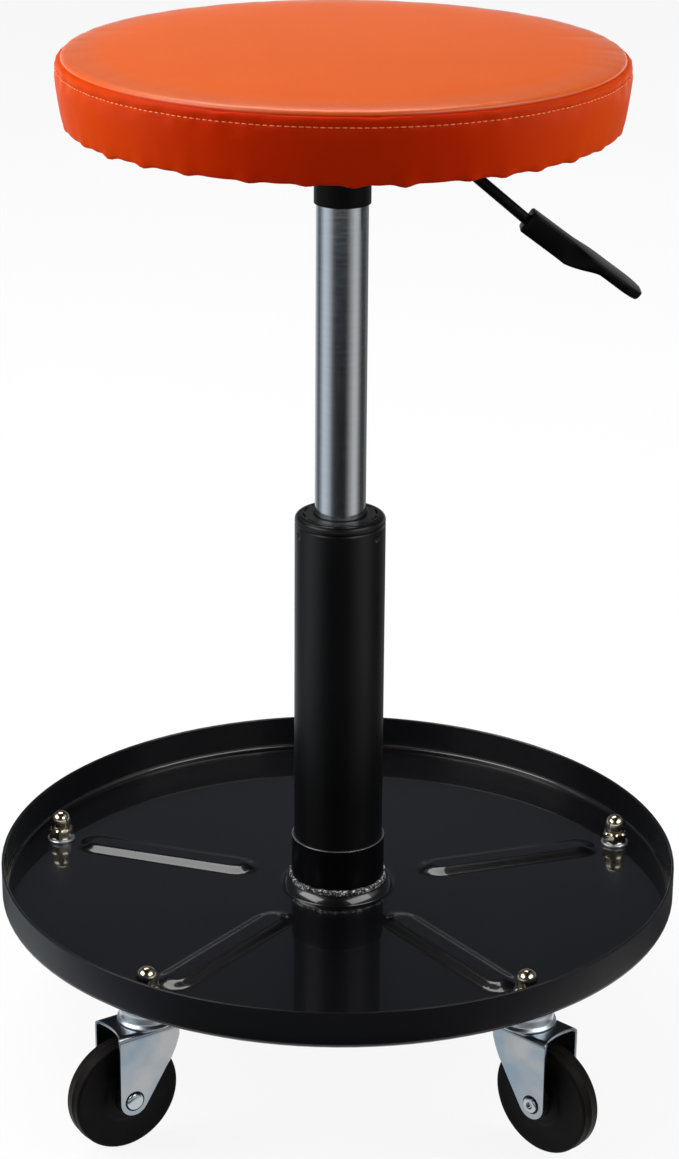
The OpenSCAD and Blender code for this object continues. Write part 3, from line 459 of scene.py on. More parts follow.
def press_ribs(graph, given):
    """Raises each point by the height of a round-ended rib, one in each equal sector of the tray."""
    place = graph.node("GeometryNodeInputPosition")
    x, y = (graph.node("ShaderNodeSeparateXYZ", {}, {0: place}, out=axis) for axis in "XY")
    out = (x * x + y * y) ** 0.5
    sector = math.tau / given["Ribs"]
    turn = x.math("ARCTAN2", y, x) - math.radians(first_rib_angle)
    turn = turn.math("FLOORED_MODULO", turn + sector * 0.5, sector) - sector * 0.5
    along = out * turn.math("COSINE", turn)
    side = out * turn.math("SINE", turn)
    on_bar = along.math("MINIMUM", along.math("MAXIMUM", along, given["Start"]), given["End"])
    away = ((along - on_bar) ** 2 + side * side) ** 0.5
    rise = away.math("DIVIDE", given["Foot"] - away, given["Foot"] - given["Top"], clamp=True)
    eased = rise * 0.78 + rise * rise * (3 - 2 * rise) * 0.22
    lift = graph.node("ShaderNodeCombineXYZ", {}, {"Z": eased * given["Height"]})
    return graph.node("GeometryNodeSetPosition", {}, {"Geometry": given["Geometry"], "Offset": lift})


built(tray, "pressed_ribs", tray_look, {"Ribs": rib_count, **{k: v * MM for k, v in rib.items()}}, press_ribs)

# Socket and weld. A short steel sleeve in the tray's collar, painted as the column is, with a lumpy weld
# bead round its foot. The bead is rough, with near-white metal spots in it that are painted glints. The
# sleeve's top ends 3 mm lower than the CAD's, as it does in the photo.
socket_shorter, socket_in, socket_edge, socket_bevel = 3.0, 25.05, 0.45, 0.2
weld_turns, weld_rows = 300, 9
weld_reach_share, weld_top_lumps = 0.97, 0.25


def coat(name, constants, gloss, tone=None, relief=None):
    """A finish that varies with noise. gloss and tone each hold the noise's scale and two ends, as roughness
    and as colours, and relief holds scale, detail, depth in metres and strength."""
    look = Finish(name, constants)
    if tone:
        look.tone(look.noise(tone[0]), *tone[1:])
    look.gloss(look.noise(gloss[0]), *gloss[1:])
    if relief:
        look.relief(look.noise(*relief[:2]), *relief[2:])
    return look


def woven(rows, wide, closed=True, ring=False):
    """Faces of a grid of points, row after row. closed joins each row's end to its start, and ring joins
    the last row to the first."""
    return [(j * wide + k, j * wide + (k + 1) % wide, (j + 1) % rows * wide + (k + 1) % wide,
             (j + 1) % rows * wide + k)
            for j in range(rows if ring else rows - 1) for k in range(wide if closed else wide - 1)]


column_look = coat("column_satin_black", {"Specular IOR Level": 0.34}, (30, 0.28, 0.36),
                   (14, (3, 3, 4), (6, 6, 7)), (2400, 2, 0.00002, 0.5))
socket_low, socket_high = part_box("base_socket")
socket_foot, socket_top = socket_low.z / MM, socket_high.z / MM - socket_shorter
socket_look = Finish("socket_black_worn_edge", {"Specular IOR Level": 0.15})
# Painted highlight: near the rounded top edge the black paint gives way, in spots, to light grey metal, which
# draws the edge's bright line.
edge_highlight = socket_look.spread(socket_look.along("Z"), 0, 1, (socket_top - 0.4) * MM, (socket_top - 0.2) * MM)
edge_highlight = edge_highlight * socket_look.spread(socket_look.noise(90), 0.25, 0.9, 0.3, 0.7)
socket_look.tone(edge_highlight, (4, 4, 6), (150, 150, 152))
socket_look.feed("Metallic", edge_highlight)
socket_look.gloss(socket_look.noise(30), 0.26, 0.34)
socket_outline = [(socket_in, socket_foot), (socket_r, socket_foot), (socket_r, socket_top - 3)]
socket_outline += arc((socket_r - socket_edge, socket_top - socket_edge), socket_edge, 0, 90, 5)
socket_outline += [(socket_in + socket_bevel, socket_top), (socket_in, socket_top - socket_bevel)]
piece("socket_sleeve", *spun(socket_outline, 128), socket_look, "base", "base_socket", "column_paint")

weld_look = Finish("weld_bead", {"Specular IOR Level": 0.8})
weld_grain = weld_look.noise(700, 4, 0.7)
# Painted glints: scattered spots of the bead turn near-white metal.
metal_glints = weld_look.spread(weld_grain, 0, 1, 0.5, 0.58) * weld_look.spread(weld_look.noise(170), 0, 1, 0.4, 0.5)
weld_look.tone(metal_glints, (4, 4, 5), (235, 235, 235))
weld_look.feed("Metallic", metal_glints * 0.8)
weld_look.gloss(weld_grain, 0.4, 0.25)
weld_look.relief(weld_grain, 0.0004)
weld_foot = tray_z + collar_trough_z
rng = np.random.default_rng(7)
weld_turn = np.linspace(0, math.tau, weld_turns, endpoint=False)
weld_lump = sum(rng.uniform(0.05, 0.16) * np.sin(n * weld_turn + rng.uniform(0, math.tau))
                for n in (9, 23, 41, 58, 67))
weld_ripple = 0.12 * np.abs(np.sin(38 * weld_turn + 2 * np.sin(5 * weld_turn)))
weld_verts = []
for rise in np.radians(np.linspace(0, 90, weld_rows)):
    swell = 1 + (weld_lump + weld_ripple) * math.sin(2 * rise)
    out = socket_r + weld_w * swell * math.cos(rise) * weld_reach_share
    up = weld_foot + weld_h * swell * math.sin(rise) * (1 + weld_top_lumps * weld_lump)
    weld_verts += zip(out * np.cos(weld_turn), out * np.sin(weld_turn), up)
weld_verts += [(socket_r * math.cos(a), socket_r * math.sin(a), weld_foot) for a in weld_turn]
piece("weld_ring", weld_verts, woven(weld_rows + 1, weld_turns, ring=True), weld_look, "base", "weld_bead",
      "column_paint")

# Column. The gas lift's outer tube, rolled in at the top over the plastic bush that guides the sliding
# tube, with a groove and three dimples that hold the bush. Satin black paint.
dress(column_look, "column")
plastic_look = coat("black_plastic", {}, (80, 0.34, 0.46), (40, (17, 17, 18), (23, 23, 24)),
                    (1800, 2, 0.00003, 0.6))
dress(plastic_look, "guide_bush")

# Stems. Each caster's stem bolt comes up through the tray and takes a zinc washer and a domed nut in
# bright nickel. Under the tray a pressed cup holds the balls of the swivel race.
stem_r = tray_r - 19.7
stem_angles = [90 + 72 * k for k in range(5)]
washer_r, washer_t, washer_edge, stem_rad = 8.0, 1.6, 0.35, 4.05
nut_af, nut_h, nut_hex_h, nut_dome_r, nut_neck_r, nut_bore_l = 13.0, 16.5, 6.5, 5.9, 5.35, 9.5
nut_turns = (13, -5, 7, -12, -8)
cup_h, cup_wall, cup_lip_r, cup_in_r, cup_roof_r = 4.6, 1.4, 16.3, 13.3, 5.2
nickel_look = coat("nickel_plate", {"Metallic": 1.0}, (300, 0.07, 0.16),
                   (120, (200, 188, 160), (226, 218, 200)))
zinc_look = Finish("zinc_plate", {"Metallic": 1.0})
zinc_cloud = zinc_look.spread(zinc_look.noise(38), 0, 1, 0.36, 0.64)
zinc_look.tone(zinc_cloud, (136, 154, 168), (172, 174, 176))
zinc_look.gloss(zinc_look.noise(160), 0.2, 0.28)
zinc_look.relief(zinc_look.noise(300), 0.00004, 0.4)
washer_look = coat("bright_zinc", {"Metallic": 1.0}, (160, 0.3, 0.4),
                   (60, (206, 218, 228), (228, 234, 238)))


def placed(verts, faces, spots):
    """Copies of a mesh at spots, each a place and a turn about the vertical, as one mesh."""
    all_verts, all_faces = [], []
    for x, y, turn in spots:
        c, s = math.cos(math.radians(turn)), math.sin(math.radians(turn))
        start = len(all_verts)
        all_verts += [(x + c * v[0] - s * v[1], y + s * v[0] + c * v[1], v[2]) for v in verts]
        all_faces += [tuple(start + i for i in face) for face in faces]
    return all_verts, all_faces


def hexagon(r, z, a):
    """Cuts a turned outline to the nut's six flats, up to the top of the hexagon."""
    if r < stem_rad + 0.01 or z > nut_hex_h:
        return r
    return min(r, nut_af / 2 / math.cos((a + math.pi / 6) % (math.pi / 3) - math.pi / 6))


nut_corner_r = nut_af / 2 / math.cos(math.pi / 6)
nut_outline = [(0, nut_bore_l), (stem_rad - 0.6, nut_bore_l), (stem_rad, nut_bore_l - 0.6), (stem_rad, 0)]
nut_outline += [(nut_af / 2 - 0.3, 0), (nut_corner_r, 0.75), (nut_corner_r, 2.2), (nut_corner_r, 4.2)]
nut_outline += [(nut_corner_r, nut_hex_h - 0.8), (nut_af / 2 - 0.35, nut_hex_h)]
nut_outline += [(nut_neck_r, nut_hex_h + 0.05), (nut_neck_r, nut_hex_h + 1.0), (nut_dome_r, nut_hex_h + 1.7)]
nut_outline += [(nut_dome_r, nut_h - nut_dome_r)]
nut_outline += arc((0, nut_h - nut_dome_r), nut_dome_r, 8, 82, 9) + [(0, nut_h)]
stem_spots = [(*(stem_r * on_circle(a)), t) for a, t in zip(stem_angles, nut_turns)]
floor_top = tray_z + tray_sheet
nut_verts, nut_faces = spun(nut_outline, 72, hexagon)
nut_verts[:, 2] += floor_top + washer_t
piece("domed_nuts", *placed(nut_verts, nut_faces, stem_spots), nickel_look, "base", "cap_nuts", "nickel", 28)
washer_outline = [(stem_rad, 0), (washer_r - 0.3, 0), (washer_r, 0.3), (washer_r, washer_t - washer_edge)]
washer_outline += [(washer_r - washer_edge, washer_t), (stem_rad, washer_t)]
washer_verts, washer_faces = spun(washer_outline, 64)
washer_verts[:, 2] += floor_top
piece("nut_washers", *placed(washer_verts, washer_faces, stem_spots), washer_look, "base",
      "stem_washers", "zinc")

cup_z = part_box("raceway_cups")[0].z / MM
cup_roof_z, cup_out_r = cup_z + cup_h, cup_in_r + cup_wall
cup_outline = [(stem_rad, cup_roof_z), (cup_in_r - 2, cup_roof_z), (cup_in_r - 0.6, cup_roof_z - 0.6)]
cup_outline += [(cup_in_r, cup_roof_z - 2), (cup_in_r, cup_z + 1.2), (cup_in_r + 0.3, cup_z + 0.1)]
cup_outline += [(cup_lip_r - 0.3, cup_z), (cup_lip_r, cup_z + 0.3), (cup_lip_r - 0.1, cup_z + 0.9)]
cup_outline += arc((cup_lip_r, cup_z + 3.0), 1.6, 235, 180, 5) + [(cup_out_r, cup_roof_z - 1)]
cup_outline += arc((cup_out_r - cup_roof_r, tray_z - cup_roof_r), cup_roof_r, 10, 75, 8)
cup_outline += [(stem_rad + 3, tray_z), (stem_rad, tray_z)]
cup_mesh = placed(*spun(cup_outline, 72), stem_spots)
piece("race_cups", *cup_mesh, washer_look, "base", "raceway_cups", "zinc")
dress(zinc_look, "stem_bolts")
steel_look = coat("turned_steel", {"Metallic": 1.0, "Base Color": linear(160, 162, 165)}, (300, 0.22, 0.34))
dress(steel_look, "caster_balls", "lower_race", "bearing_balls", "upper_race", "retaining_clip",
      "piston_rod", "piston")
brass_look = coat("brass", {"Metallic": 1.0, "Base Color": linear(200, 165, 100)}, (200, 0.25, 0.35))
dress(brass_look, "bearing_cage")

# Casters. Each fork is pressed from 1.6 mm zinc-plated sheet: its crown is cut back in a round notch over
# the wheel, its legs are turned in along their leading edges, and a riveted axle carries a rubber wheel.
fork_half, fork_sheet, fork_bend_r, fork_edge_w = 13.4, 1.6, 3.0, 0.32
flange_r, flange_forward, flange_curl = 3.6, 2.6, 0.85
trail, wheel_r, fork_end_r = 16.3, 31.0, 8.3
crown_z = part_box("caster_fork_1")[1].z / MM
crown_front, knee_x, knee_z, lead_top_z = -10.5, -5.0, crown_z - 22, crown_z - 8.5
crown_back, crown_cut = trail + fork_end_r, 2.7
race_seat_r, race_seat_h = 13.6, 0.9
trail_angles = (190, 80, 214, -43.5, 100)
wheel_tread, shoulder_r, tread_drop = 5.75, 1.3, 0.3
hub_face = fork_half - fork_sheet - 0.5
worn_from_r, worn_band, rivet_head_r, in_gap_w = 29.4, 0.8, 4.35, 0.2


def smooth_step(t):
    t = np.clip(t, 0, 1)
    return t * t * (3 - 2 * t)


def round_end(z):
    """Half the width of a leg's round end at a height."""
    return math.sqrt(max(0, fork_end_r ** 2 - (z - wheel_r) ** 2))


def lead_edge(z):
    """Where a leg's leading edge lies at a height."""
    knee, axle = np.array((knee_x, knee_z)), np.array((trail, wheel_r))
    back, up = knee - axle
    touch = math.atan2(up, back) + math.acos(fork_end_r / math.hypot(back, up))
    tangent = axle + fork_end_r * on_circle(math.degrees(touch))
    if z <= tangent[1]:
        return trail - round_end(z)
    line = [tangent, knee, ((2 * crown_front + knee_x) / 3, (lead_top_z + knee_z) / 2 + 0.8),
            (crown_front, lead_top_z), (crown_front, crown_z)]
    return float(np.interp(z, [p[1] for p in line], [p[0] for p in line]))


def trail_edge(z):
    """Where a leg's trailing edge lies at a height."""
    return crown_back if z >= wheel_r else trail + round_end(z)


def fork_grid():
    """The fork's outer face as rows across the fork, each with points from leading to trailing edge."""
    heights = [wheel_r + fork_end_r * math.sin(a) for a in np.radians(np.linspace(-90, 0, 9))]
    heights += list(np.linspace(wheel_r + 2, crown_z - fork_bend_r, 20))
    half = [(fork_half, z) for z in heights]
    half += arc((fork_half - fork_bend_r, crown_z - fork_bend_r), fork_bend_r, 0, 90)[1:]
    half += [(y, crown_z) for y in np.linspace(fork_half - fork_bend_r, 0, 9)[1:]]
    shares = np.sort([*np.linspace(0, 1, 23), 0.008, 0.018, 0.03, 0.06, 0.075, 0.1, 0.985])
    inner = fork_half - fork_sheet / 2
    rows = []
    for y, z in [(-y, z) for y, z in half] + half[-2::-1]:
        low, high = lead_edge(min(z, crown_z)), trail_edge(z)
        flange = 0.0
        if abs(y) > fork_half - 1.5:
            flange = float(smooth_step((z - knee_z + 5) / 7) * smooth_step((crown_z + 1 - z) / 5))
        low -= flange_forward * flange
        if abs(y) < inner:
            high -= crown_cut * (1 - (y / inner) ** 2)
        row = []
        for x in low + shares * (high - low):
            bent = min(1.0, max(0.0, 1 - (x - low) / flange_r))
            curl = flange_curl * flange_r * flange * (1 - math.sqrt(1 - 0.97 * bent * bent))
            raised = 0.0
            if z > crown_z - 0.01:
                raised = race_seat_h * float(smooth_step((race_seat_r - math.hypot(x, y)) / 2.2))
            row.append((x, y - math.copysign(curl, y), z + raised))
        rows.append(row)
    return rows


def on_axle(verts, angle, stem):
    """Turns points from the axle's own frame, where it stands upright, to a caster's place."""
    c, s = on_circle(angle)
    verts = np.asarray(verts, float)
    x, y, z = trail + verts[:, 0], verts[:, 2], wheel_r - verts[:, 1]
    return np.column_stack([stem[0] + c * x - s * y, stem[1] + s * x + c * y, z])


def from_axle(obj, centre, axis):
    """How far an object's points lie out from an axis, and along it from the centre, in millimetres."""
    points = np.array([v.co for v in obj.data.vertices]) / MM - centre
    beside = points @ axis
    return np.linalg.norm(points - np.outer(beside, axis), axis=1), np.abs(beside)


def mark(obj, name, values):
    """Stores a number for each of an object's points under a name."""
    held = obj.data.attributes.new(name, "FLOAT", "POINT")
    held.data.foreach_set("value", values.astype(np.float32))


fork_rows = fork_grid()
fork_verts = [p for row in fork_rows for p in row]
fork_faces = woven(len(fork_rows), len(fork_rows[0]), closed=False)

shoulder_at = (wheel_r - tread_drop - shoulder_r, wheel_tread - shoulder_r)
wheel_half = [(0, wheel_r), (0.4, wheel_r), (0.75, wheel_r - 0.25), (shoulder_at[1], wheel_r - tread_drop)]
wheel_half += [(x, r) for r, x in arc(shoulder_at, shoulder_r, 15, 90)]
wheel_half += [(wheel_tread + x, r) for x, r in ((-0.15, 27.5), (-0.5, 25.5), (-0.6, 16.5), (-0.4, 14.6),
                                                 (0.2, 13.6), (0.9, 12.9), (1.0, 10.4), (1.6, 8.8))]
wheel_half += [(hub_face - 0.4, 8.0), (hub_face, 7.6), (hub_face, 4.6)]
wheel_outline = [(r, -x) for x, r in wheel_half[:0:-1]] + [(r, x) for x, r in wheel_half]

# The riveted axle's two ends, as radius and how far beyond the fork's side
bored_end = [(0, -1.4), (1.9, -1.4), (2.0, 1.3), (2.5, 1.6), (3.6, 1.55), (4.2, 1.1), (4.4, 0.3), (4.4, 0.1),
             (5.3, 0.1), (5.3, -0.05), (2.95, -0.05)]
domed_end = [(2.95, -0.05), (5.7, -0.05), (5.7, 0.1), (4.9, 0.1), (4.9, 0.35), (4.55, 0.95), (3.7, 1.45),
             (2.2, 1.8), (0, 1.95)]
axle_outline = [(r, -fork_half - x) for r, x in bored_end] + [(r, fork_half + x) for r, x in domed_end]

rubber_look = Finish("wheel_rubber", {"Specular IOR Level": 0.08})
worn = rubber_look.marked("tread") * rubber_look.spread(rubber_look.noise(220, 4), 0.3, 1.2)
rubber_look.tone(worn, (2, 2, 2), (24, 22, 20))
rubber_look.gloss(rubber_look.noise(150), 0.42, 0.6)
rubber_look.relief(rubber_look.noise(900), 0.00008, 0.5)
rivet_look = Finish("zinc_rivet", {"Metallic": 1.0})
# Painted shadow: a dark ring round each rivet head, on the flat where the axle meets the fork's side.
rivet_look.tone(rivet_look.marked("grime"), (184, 192, 198), (30, 32, 36))
rivet_look.gloss(rivet_look.noise(200), 0.16, 0.28)
wheel_verts, wheel_faces = spun(wheel_outline)
axle_verts, axle_faces = spun(axle_outline, 48)
for k, angle in enumerate(trail_angles):
    number, stem = k + 1, stem_spots[k][:2]
    fork = piece(f"fork_plate_{number}", *placed(fork_verts, fork_faces, [(*stem, angle)]), zinc_look,
                 f"fork_{number}", f"caster_fork_{number}", "zinc", 50)
    setup(fork.modifiers.new("sheet", "SOLIDIFY"), thickness=fork_sheet * MM, offset=-1)
    setup(fork.modifiers.new("edges", "BEVEL"), width=fork_edge_w * MM, segments=2, limit_method="ANGLE",
          angle_limit=math.radians(55))
    wheel = piece(f"wheel_{number}_tyre", on_axle(wheel_verts, angle, stem), wheel_faces, rubber_look,
                  f"wheel_{number}", f"caster_wheel_{number}", "wheel_rubber", 40)
    axle = piece(f"axle_rivet_{number}", on_axle(axle_verts, angle, stem), axle_faces, rivet_look,
                 f"fork_{number}", f"caster_axle_{number}", "zinc")
    centre = np.array((*(stem + trail * on_circle(angle)), wheel_r))
    axis = np.array((*on_circle(angle + 90), 0))
    out, _ = from_axle(wheel, centre, axis)
    mark(wheel, "tread", np.clip((out - worn_from_r) / worn_band, 0, 1))
    # Marks the painted shadow ring round the rivet head, on the flat next to the fork's side.
    out, beside = from_axle(axle, centre, axis)
    mark(axle, "grime", (out > rivet_head_r) & (np.abs(beside - fork_half) < in_gap_w))
dress(steel_look, *[f"caster_bush_{k}" for k in range(1, 6)])

# Gas lift. The sliding tube is ground and bright, with faint marks round it from grinding. The rod, the
# piston and the guide in it do not show, and keep the CAD shape.
tube_look = Finish("tube_ground_steel", {"Metallic": 1.0})
marks = tube_look.noise(60, 4, 0.6, tube_look.place(scale=(1, 1, 14)))
tube_look.tone(marks, (196, 203, 210), (214, 218, 222))
tube_look.gloss(marks, 0.12, 0.17, 0.35, 0.65)
dress(tube_look, "gas_tube")
soft_rubber_look = coat("seal_rubber", {"Base Color": linear(26, 26, 27)}, (100, 0.5, 0.65))
dress(soft_rubber_look, "bumper", "piston_seal", "rod_seal")
dress(plastic_look, "rod_guide", "valve_body")
dress(steel_look, "valve_pin")

# Seat support. A short sleeve and a folded channel, welded to a square plate, all in black paint. Four
# bolts with lock washers hold the plate to the board.
dark_look = coat("support_matt_black", {"Specular IOR Level": 0.1}, (40, 0.36, 0.46),
                 (20, (3, 3, 3), (6, 6, 7)), (2400, 2, 0.00002, 0.5))
dress(dark_look, "seat_hub", "lever_housing", "seat_plate")
dress(zinc_look, "seat_bolts", "lock_washers", "tee_nuts")

# Lever. A bent rod in black paint pivots on a pin in the channel, and its end is pushed into a flat handle
# of black plastic, thick at its mouth and thin at its blade.
dress(dark_look, "lever_rod")
dress(zinc_look, "pivot_pin", "pivot_clip")
handle_look = coat("handle_plastic", {"Specular IOR Level": 0.09}, (90, 0.36, 0.46),
                   (60, (3, 3, 3), (5, 5, 6)), (1500, 2, 0.00005, 0.7))
handle_slope, handle_l = 36.5, 74.0
mouth_w, mouth_h, blade_w, blade_t = 13.6, 12.6, 24.4, 5.2
mouth_at = (97.035, 472.033)
mouth_insets = {0: 0.8, 0.35: 0.3}
taper_start, taper_end, spread_start, spread_end = 0.4, 0.64, 0.33, 0.56
low_corner_r, high_corner_r, corner_steps = 2.0, 1.3, 4
nose_l, nose_drop = 2.2, 1.2
rod_hole_r, rod_hole_l = 3.1, 3.0


def rounded_section(half, low, high):
    """A rounded box across the handle, as points of (side, height)."""
    r_low, r_high = (min(r, 0.48 * (high - low), 0.9 * half) for r in (low_corner_r, high_corner_r))
    points = arc((half - r_low, low + r_low), r_low, -90, 0, corner_steps)
    points += arc((half - r_high, high - r_high), r_high, 0, 90, corner_steps)
    points += arc((r_high - half, high - r_high), r_high, 90, 180, corner_steps)
    return points + arc((r_low - half, low + r_low), r_low, 180, 270, corner_steps)


handle_tip_r = blade_w / 2
tip_start = handle_l - handle_tip_r
handle_stations = [*mouth_insets, 1.0, *np.linspace(4, tip_start, 26)]
handle_stations += [tip_start + handle_tip_r * math.sin(a) for a in np.radians(np.linspace(9, 88, 11))]
around = 4 * (corner_steps + 1)
handle_verts = [(depth, rod_hole_r * math.sin(a), -rod_hole_r * math.cos(a)) for depth in (rod_hole_l, 0)
                for a in np.linspace(0, math.tau, around, endpoint=False)]
for u in handle_stations:
    share = u / handle_l
    spread = float(smooth_step((share - spread_start) / (spread_end - spread_start)))
    half = mouth_w / 2 + (handle_tip_r - mouth_w / 2) * spread
    if u > tip_start:
        half = math.sqrt(max(handle_tip_r ** 2 - (u - tip_start) ** 2, 0.01))
    fall = np.clip((share - taper_start) / (taper_end - taper_start), 0, 1)
    fall = 0.75 * fall + 0.25 * float(smooth_step(fall))
    inset = mouth_insets.get(u, 0)
    closing = inset + nose_drop * max(0.0, (u - handle_l + nose_l) / nose_l) ** 2
    low, high = -mouth_h / 2 + fall * (mouth_h - blade_t) + closing, mouth_h / 2 - closing
    handle_verts += [(u, y, z) for y, z in rounded_section(half - inset, low, high)]
handle_rows = len(handle_stations) + 2
handle_faces = woven(handle_rows, around)
handle_faces += [tuple(range(around)), tuple(range((handle_rows - 1) * around, handle_rows * around))]
c, s = on_circle(handle_slope)
handle_verts = [(mouth_at[0] + u * c + z * s, y, mouth_at[1] - u * s + z * c) for u, y, z in handle_verts]
piece("lever_grip", handle_verts, handle_faces, handle_look, "release_lever", "lever_handle",
      "black_plastic", 42)

# Board and foam. A round plywood board carries a foam pad that fills the cover. The cover's hem is stapled
# to the board's underside all round, which shows from below only.
wood_look = Finish("plywood", {})
rings = wood_look.noise(26, 4, 0.6, wood_look.place(scale=(1, 9, 1)))
wood_look.tone(rings, (186, 146, 98), (206, 170, 122))
wood_look.gloss(rings, 0.6, 0.75)
wood_look.relief(rings, 0.0002, 0.6)
dress(wood_look, "seat_board")
dress(zinc_look, "cover_staples")
board_low, board_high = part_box("seat_board")
board_z, board_top, board_r = board_low.z / MM, board_high.z / MM, board_high.x / MM
seat_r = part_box("seat_cover")[1].x / MM
seam_z = board_z + 31.7
foam_look = Finish("foam", {})
foam_cells = foam_look.noise(700)
foam_look.tone(foam_cells, (222, 208, 160), (236, 226, 190))
foam_look.gloss(foam_cells, 0.8, 0.95)
foam_look.relief(foam_cells, 0.0004)
foam_outline = [(0, board_top + 0.05), (board_r - 0.5, board_top + 0.05), (board_r + 0.9, board_top + 4)]
foam_outline += [(board_r + 2.2, seam_z - 9), (board_r + 1.6, seam_z - 5), (board_r - 1.5, seam_z - 2.8)]
foam_outline += [(seat_r * share, seam_z + up)
                 for share, up in ((0.9, -0.4), (0.7, 1.2), (0.37, 2.4), (0, 3.2))]
foam = piece("foam_pad", *spun(foam_outline), foam_look, "seat", "seat_foam", "foam")

# Cover. Orange vinyl in two panels, a round top and a band, sewn together by a seam that lies in a groove
# and by a row of pale stitches below it. The band is pulled under the board and stapled, so it puckers.
vinyl_look = Finish("vinyl_orange", {"Specular IOR Level": 0.03, "Coat Roughness": 0.3})
on_band = vinyl_look.spread(vinyl_look.along("Z"), 1, 0, (seam_z - 0.2) * MM, (seam_z + 0.6) * MM)
mottle = vinyl_look.noise(16, 4, 0.6)
# Painted light and shade: one vinyl is given a lighter, lit colour on the top panel and a darker, shaded one
# on the band.
vinyl_top_lit = vinyl_look.mix(mottle, linear(226, 94, 24), linear(236, 104, 34))
vinyl_band_shading = vinyl_look.mix(mottle, linear(203, 40, 1), linear(212, 47, 2))
groove_shade = vinyl_look.marked("groove")
# Painted light: the band's colour grows lighter towards its left and right ends, as where the side lamps fall
# on it.
band_side_light = vinyl_look.along("X")
band_side_light = vinyl_look.spread(band_side_light * band_side_light, 0, 0.8, 0.003, (seat_r * MM) ** 2)
vinyl_band_shading = vinyl_look.mix(band_side_light, vinyl_band_shading, linear(214, 78, 1))
vinyl_colour = vinyl_look.mix(on_band, vinyl_top_lit, vinyl_band_shading)
# Painted shade: the seam's groove is darkened to a deep red.
vinyl_look.feed("Base Color", vinyl_look.mix(groove_shade * 0.12, vinyl_colour, linear(126, 18, 2)))
grain = vinyl_look.node("ShaderNodeTexVoronoi", {"feature": "SMOOTH_F1"}, {
    "Vector": vinyl_look.place(), "Scale": 900.0, "Smoothness": 0.6}, out="Distance")
soft_waves = vinyl_look.noise(60)
pulled = vinyl_look.spread(vinyl_look.out_from_axis(), 0.35, 1, (seat_r - 26) * MM, (seat_r - 9) * MM)
vinyl_look.feed("Coat Weight", (1 - on_band) * pulled)
vinyl_look.gloss(mottle, 0.34, 0.42)
vinyl_look.relief(grain * 0.25 + soft_waves, 0.00012, 0.6)

cover_t, skin_t, crown_up = 1.3, 1.1, 5.8
hem_z = board_z - cover_t
band_h = seam_z - board_z
draw, hem_rows = 5.6, 12
# The cover's line from the hem to the crown, as radius, height and the spacing of rows after each point
cover_line = [(board_r - 22, hem_z, 3), (board_r - 5.5, hem_z + 0.1, 2.4),
              (board_r - 1.2, board_z - 2.7, 0.9), (board_r + 1.2, board_z - 2.4, 0.9),
              (seat_r - draw * 0.58, board_z + 0.4, 1.2)]
cover_line += [(seat_r - back, board_z + band_h * share, spacing) for back, share, spacing in (
    (draw * 0.27, 0.32, 1.8), (draw * 0.04, 0.66, 1.2), (0, 0.8, 0.5), (0.25, 0.88, 0.4), (1.15, 0.95, 0.4))]
cover_line += [(seat_r - draw * back, seam_z + up, spacing) for back, up, spacing in (
    (0.5, 0, 0.4), (0.78, 1.7, 0.5), (1.35, 2.5, 1.2))]
cover_line += [(seat_r * share, seam_z + up, spacing) for share, up, spacing in (
    (0.9, 3.1, 2.6), (0.7, 4.4, 5), (0.37, 5.4, 8))]
cover_line += [(6, seam_z + crown_up, 8)]
fold_r, held_w, held_seam = 146.0, 9.0, 0.35
bulge_w, crease_at, crease_w = 4.2, 7.5, 3.2
cloth_turns, cloth_frames, cloth_most = 120, 20, 4.0


def curve_through(points):
    """A smooth line through (radius, height, spacing) points, with rows about a spacing apart."""
    done = []
    place = np.array([p[:2] for p in points], float)
    ends = np.vstack([2 * place[0] - place[1], place, 2 * place[-1] - place[-2]])
    for i in range(len(place) - 1):
        a, b, c, d = ends[i:i + 4]
        steps = max(1, round(np.linalg.norm(c - b) / points[i][2]))
        for t in np.arange(steps) / steps:
            done.append(0.5 * (2 * b + (c - a) * t + (2 * a - 5 * b + 4 * c - d) * t ** 2
                               + (3 * b - a - 3 * c + d) * t ** 3))
    return np.array(done + [place[-1]])


cover_rows = curve_through(cover_line)
row_count = len(cover_rows)
steps = np.diff(cover_rows, axis=0)
row_along = np.concatenate([[0], np.cumsum(np.hypot(*steps.T))])
slopes = np.gradient(cover_rows, row_along, axis=0)
row_normal = np.column_stack([slopes[:, 1], -slopes[:, 0]])
row_normal /= np.linalg.norm(row_normal, axis=1)[:, None]
cover_turns = 360
cover_turn = np.linspace(0, math.tau, cover_turns, endpoint=False)


def row_at(height, side="band"):
    """How far along the cover's line it passes a height, on the band or on the top."""
    peak = int(np.argmax(cover_rows[:, 0]))
    part = slice(hem_rows, peak + 1) if side == "band" else slice(peak, row_count)
    return float(np.interp(height, cover_rows[part, 1], row_along[part]))


stitch_at = row_at(board_z + band_h * 0.84, "top")
seam_at = row_at(seam_z, "top")
fold_at = row_at(board_z - 2.0)

# Cloth: a coarse copy of the cover is held at its hem and at the creases, and blown out a little
front_bulges = (-52.7, -42.2, -31.5, -18.1, -6.9, 2.1, 12.0, 25.0, 32.7, 41.2, 51.6)
rng = np.random.default_rng(11)
back_bulges = np.linspace(64.5, 295.5, 19) + rng.uniform(-2.2, 2.2, 19)
bulges = np.radians(np.sort(np.concatenate([np.array(front_bulges) % 360, back_bulges])) - 90)
bulge_size = rng.uniform(0.7, 1.25, len(bulges)) * np.where(np.sin(bulges) < -0.6, 1, 0.5)


def from_bulge(angles):
    """For each angle, the distance to the nearest bulge in radians and that bulge's size."""
    apart = (angles[:, None] - bulges[None, :] + math.pi) % math.tau - math.pi
    near = np.argmin(np.abs(apart), axis=1)
    return apart[np.arange(len(angles)), near], bulge_size[near]


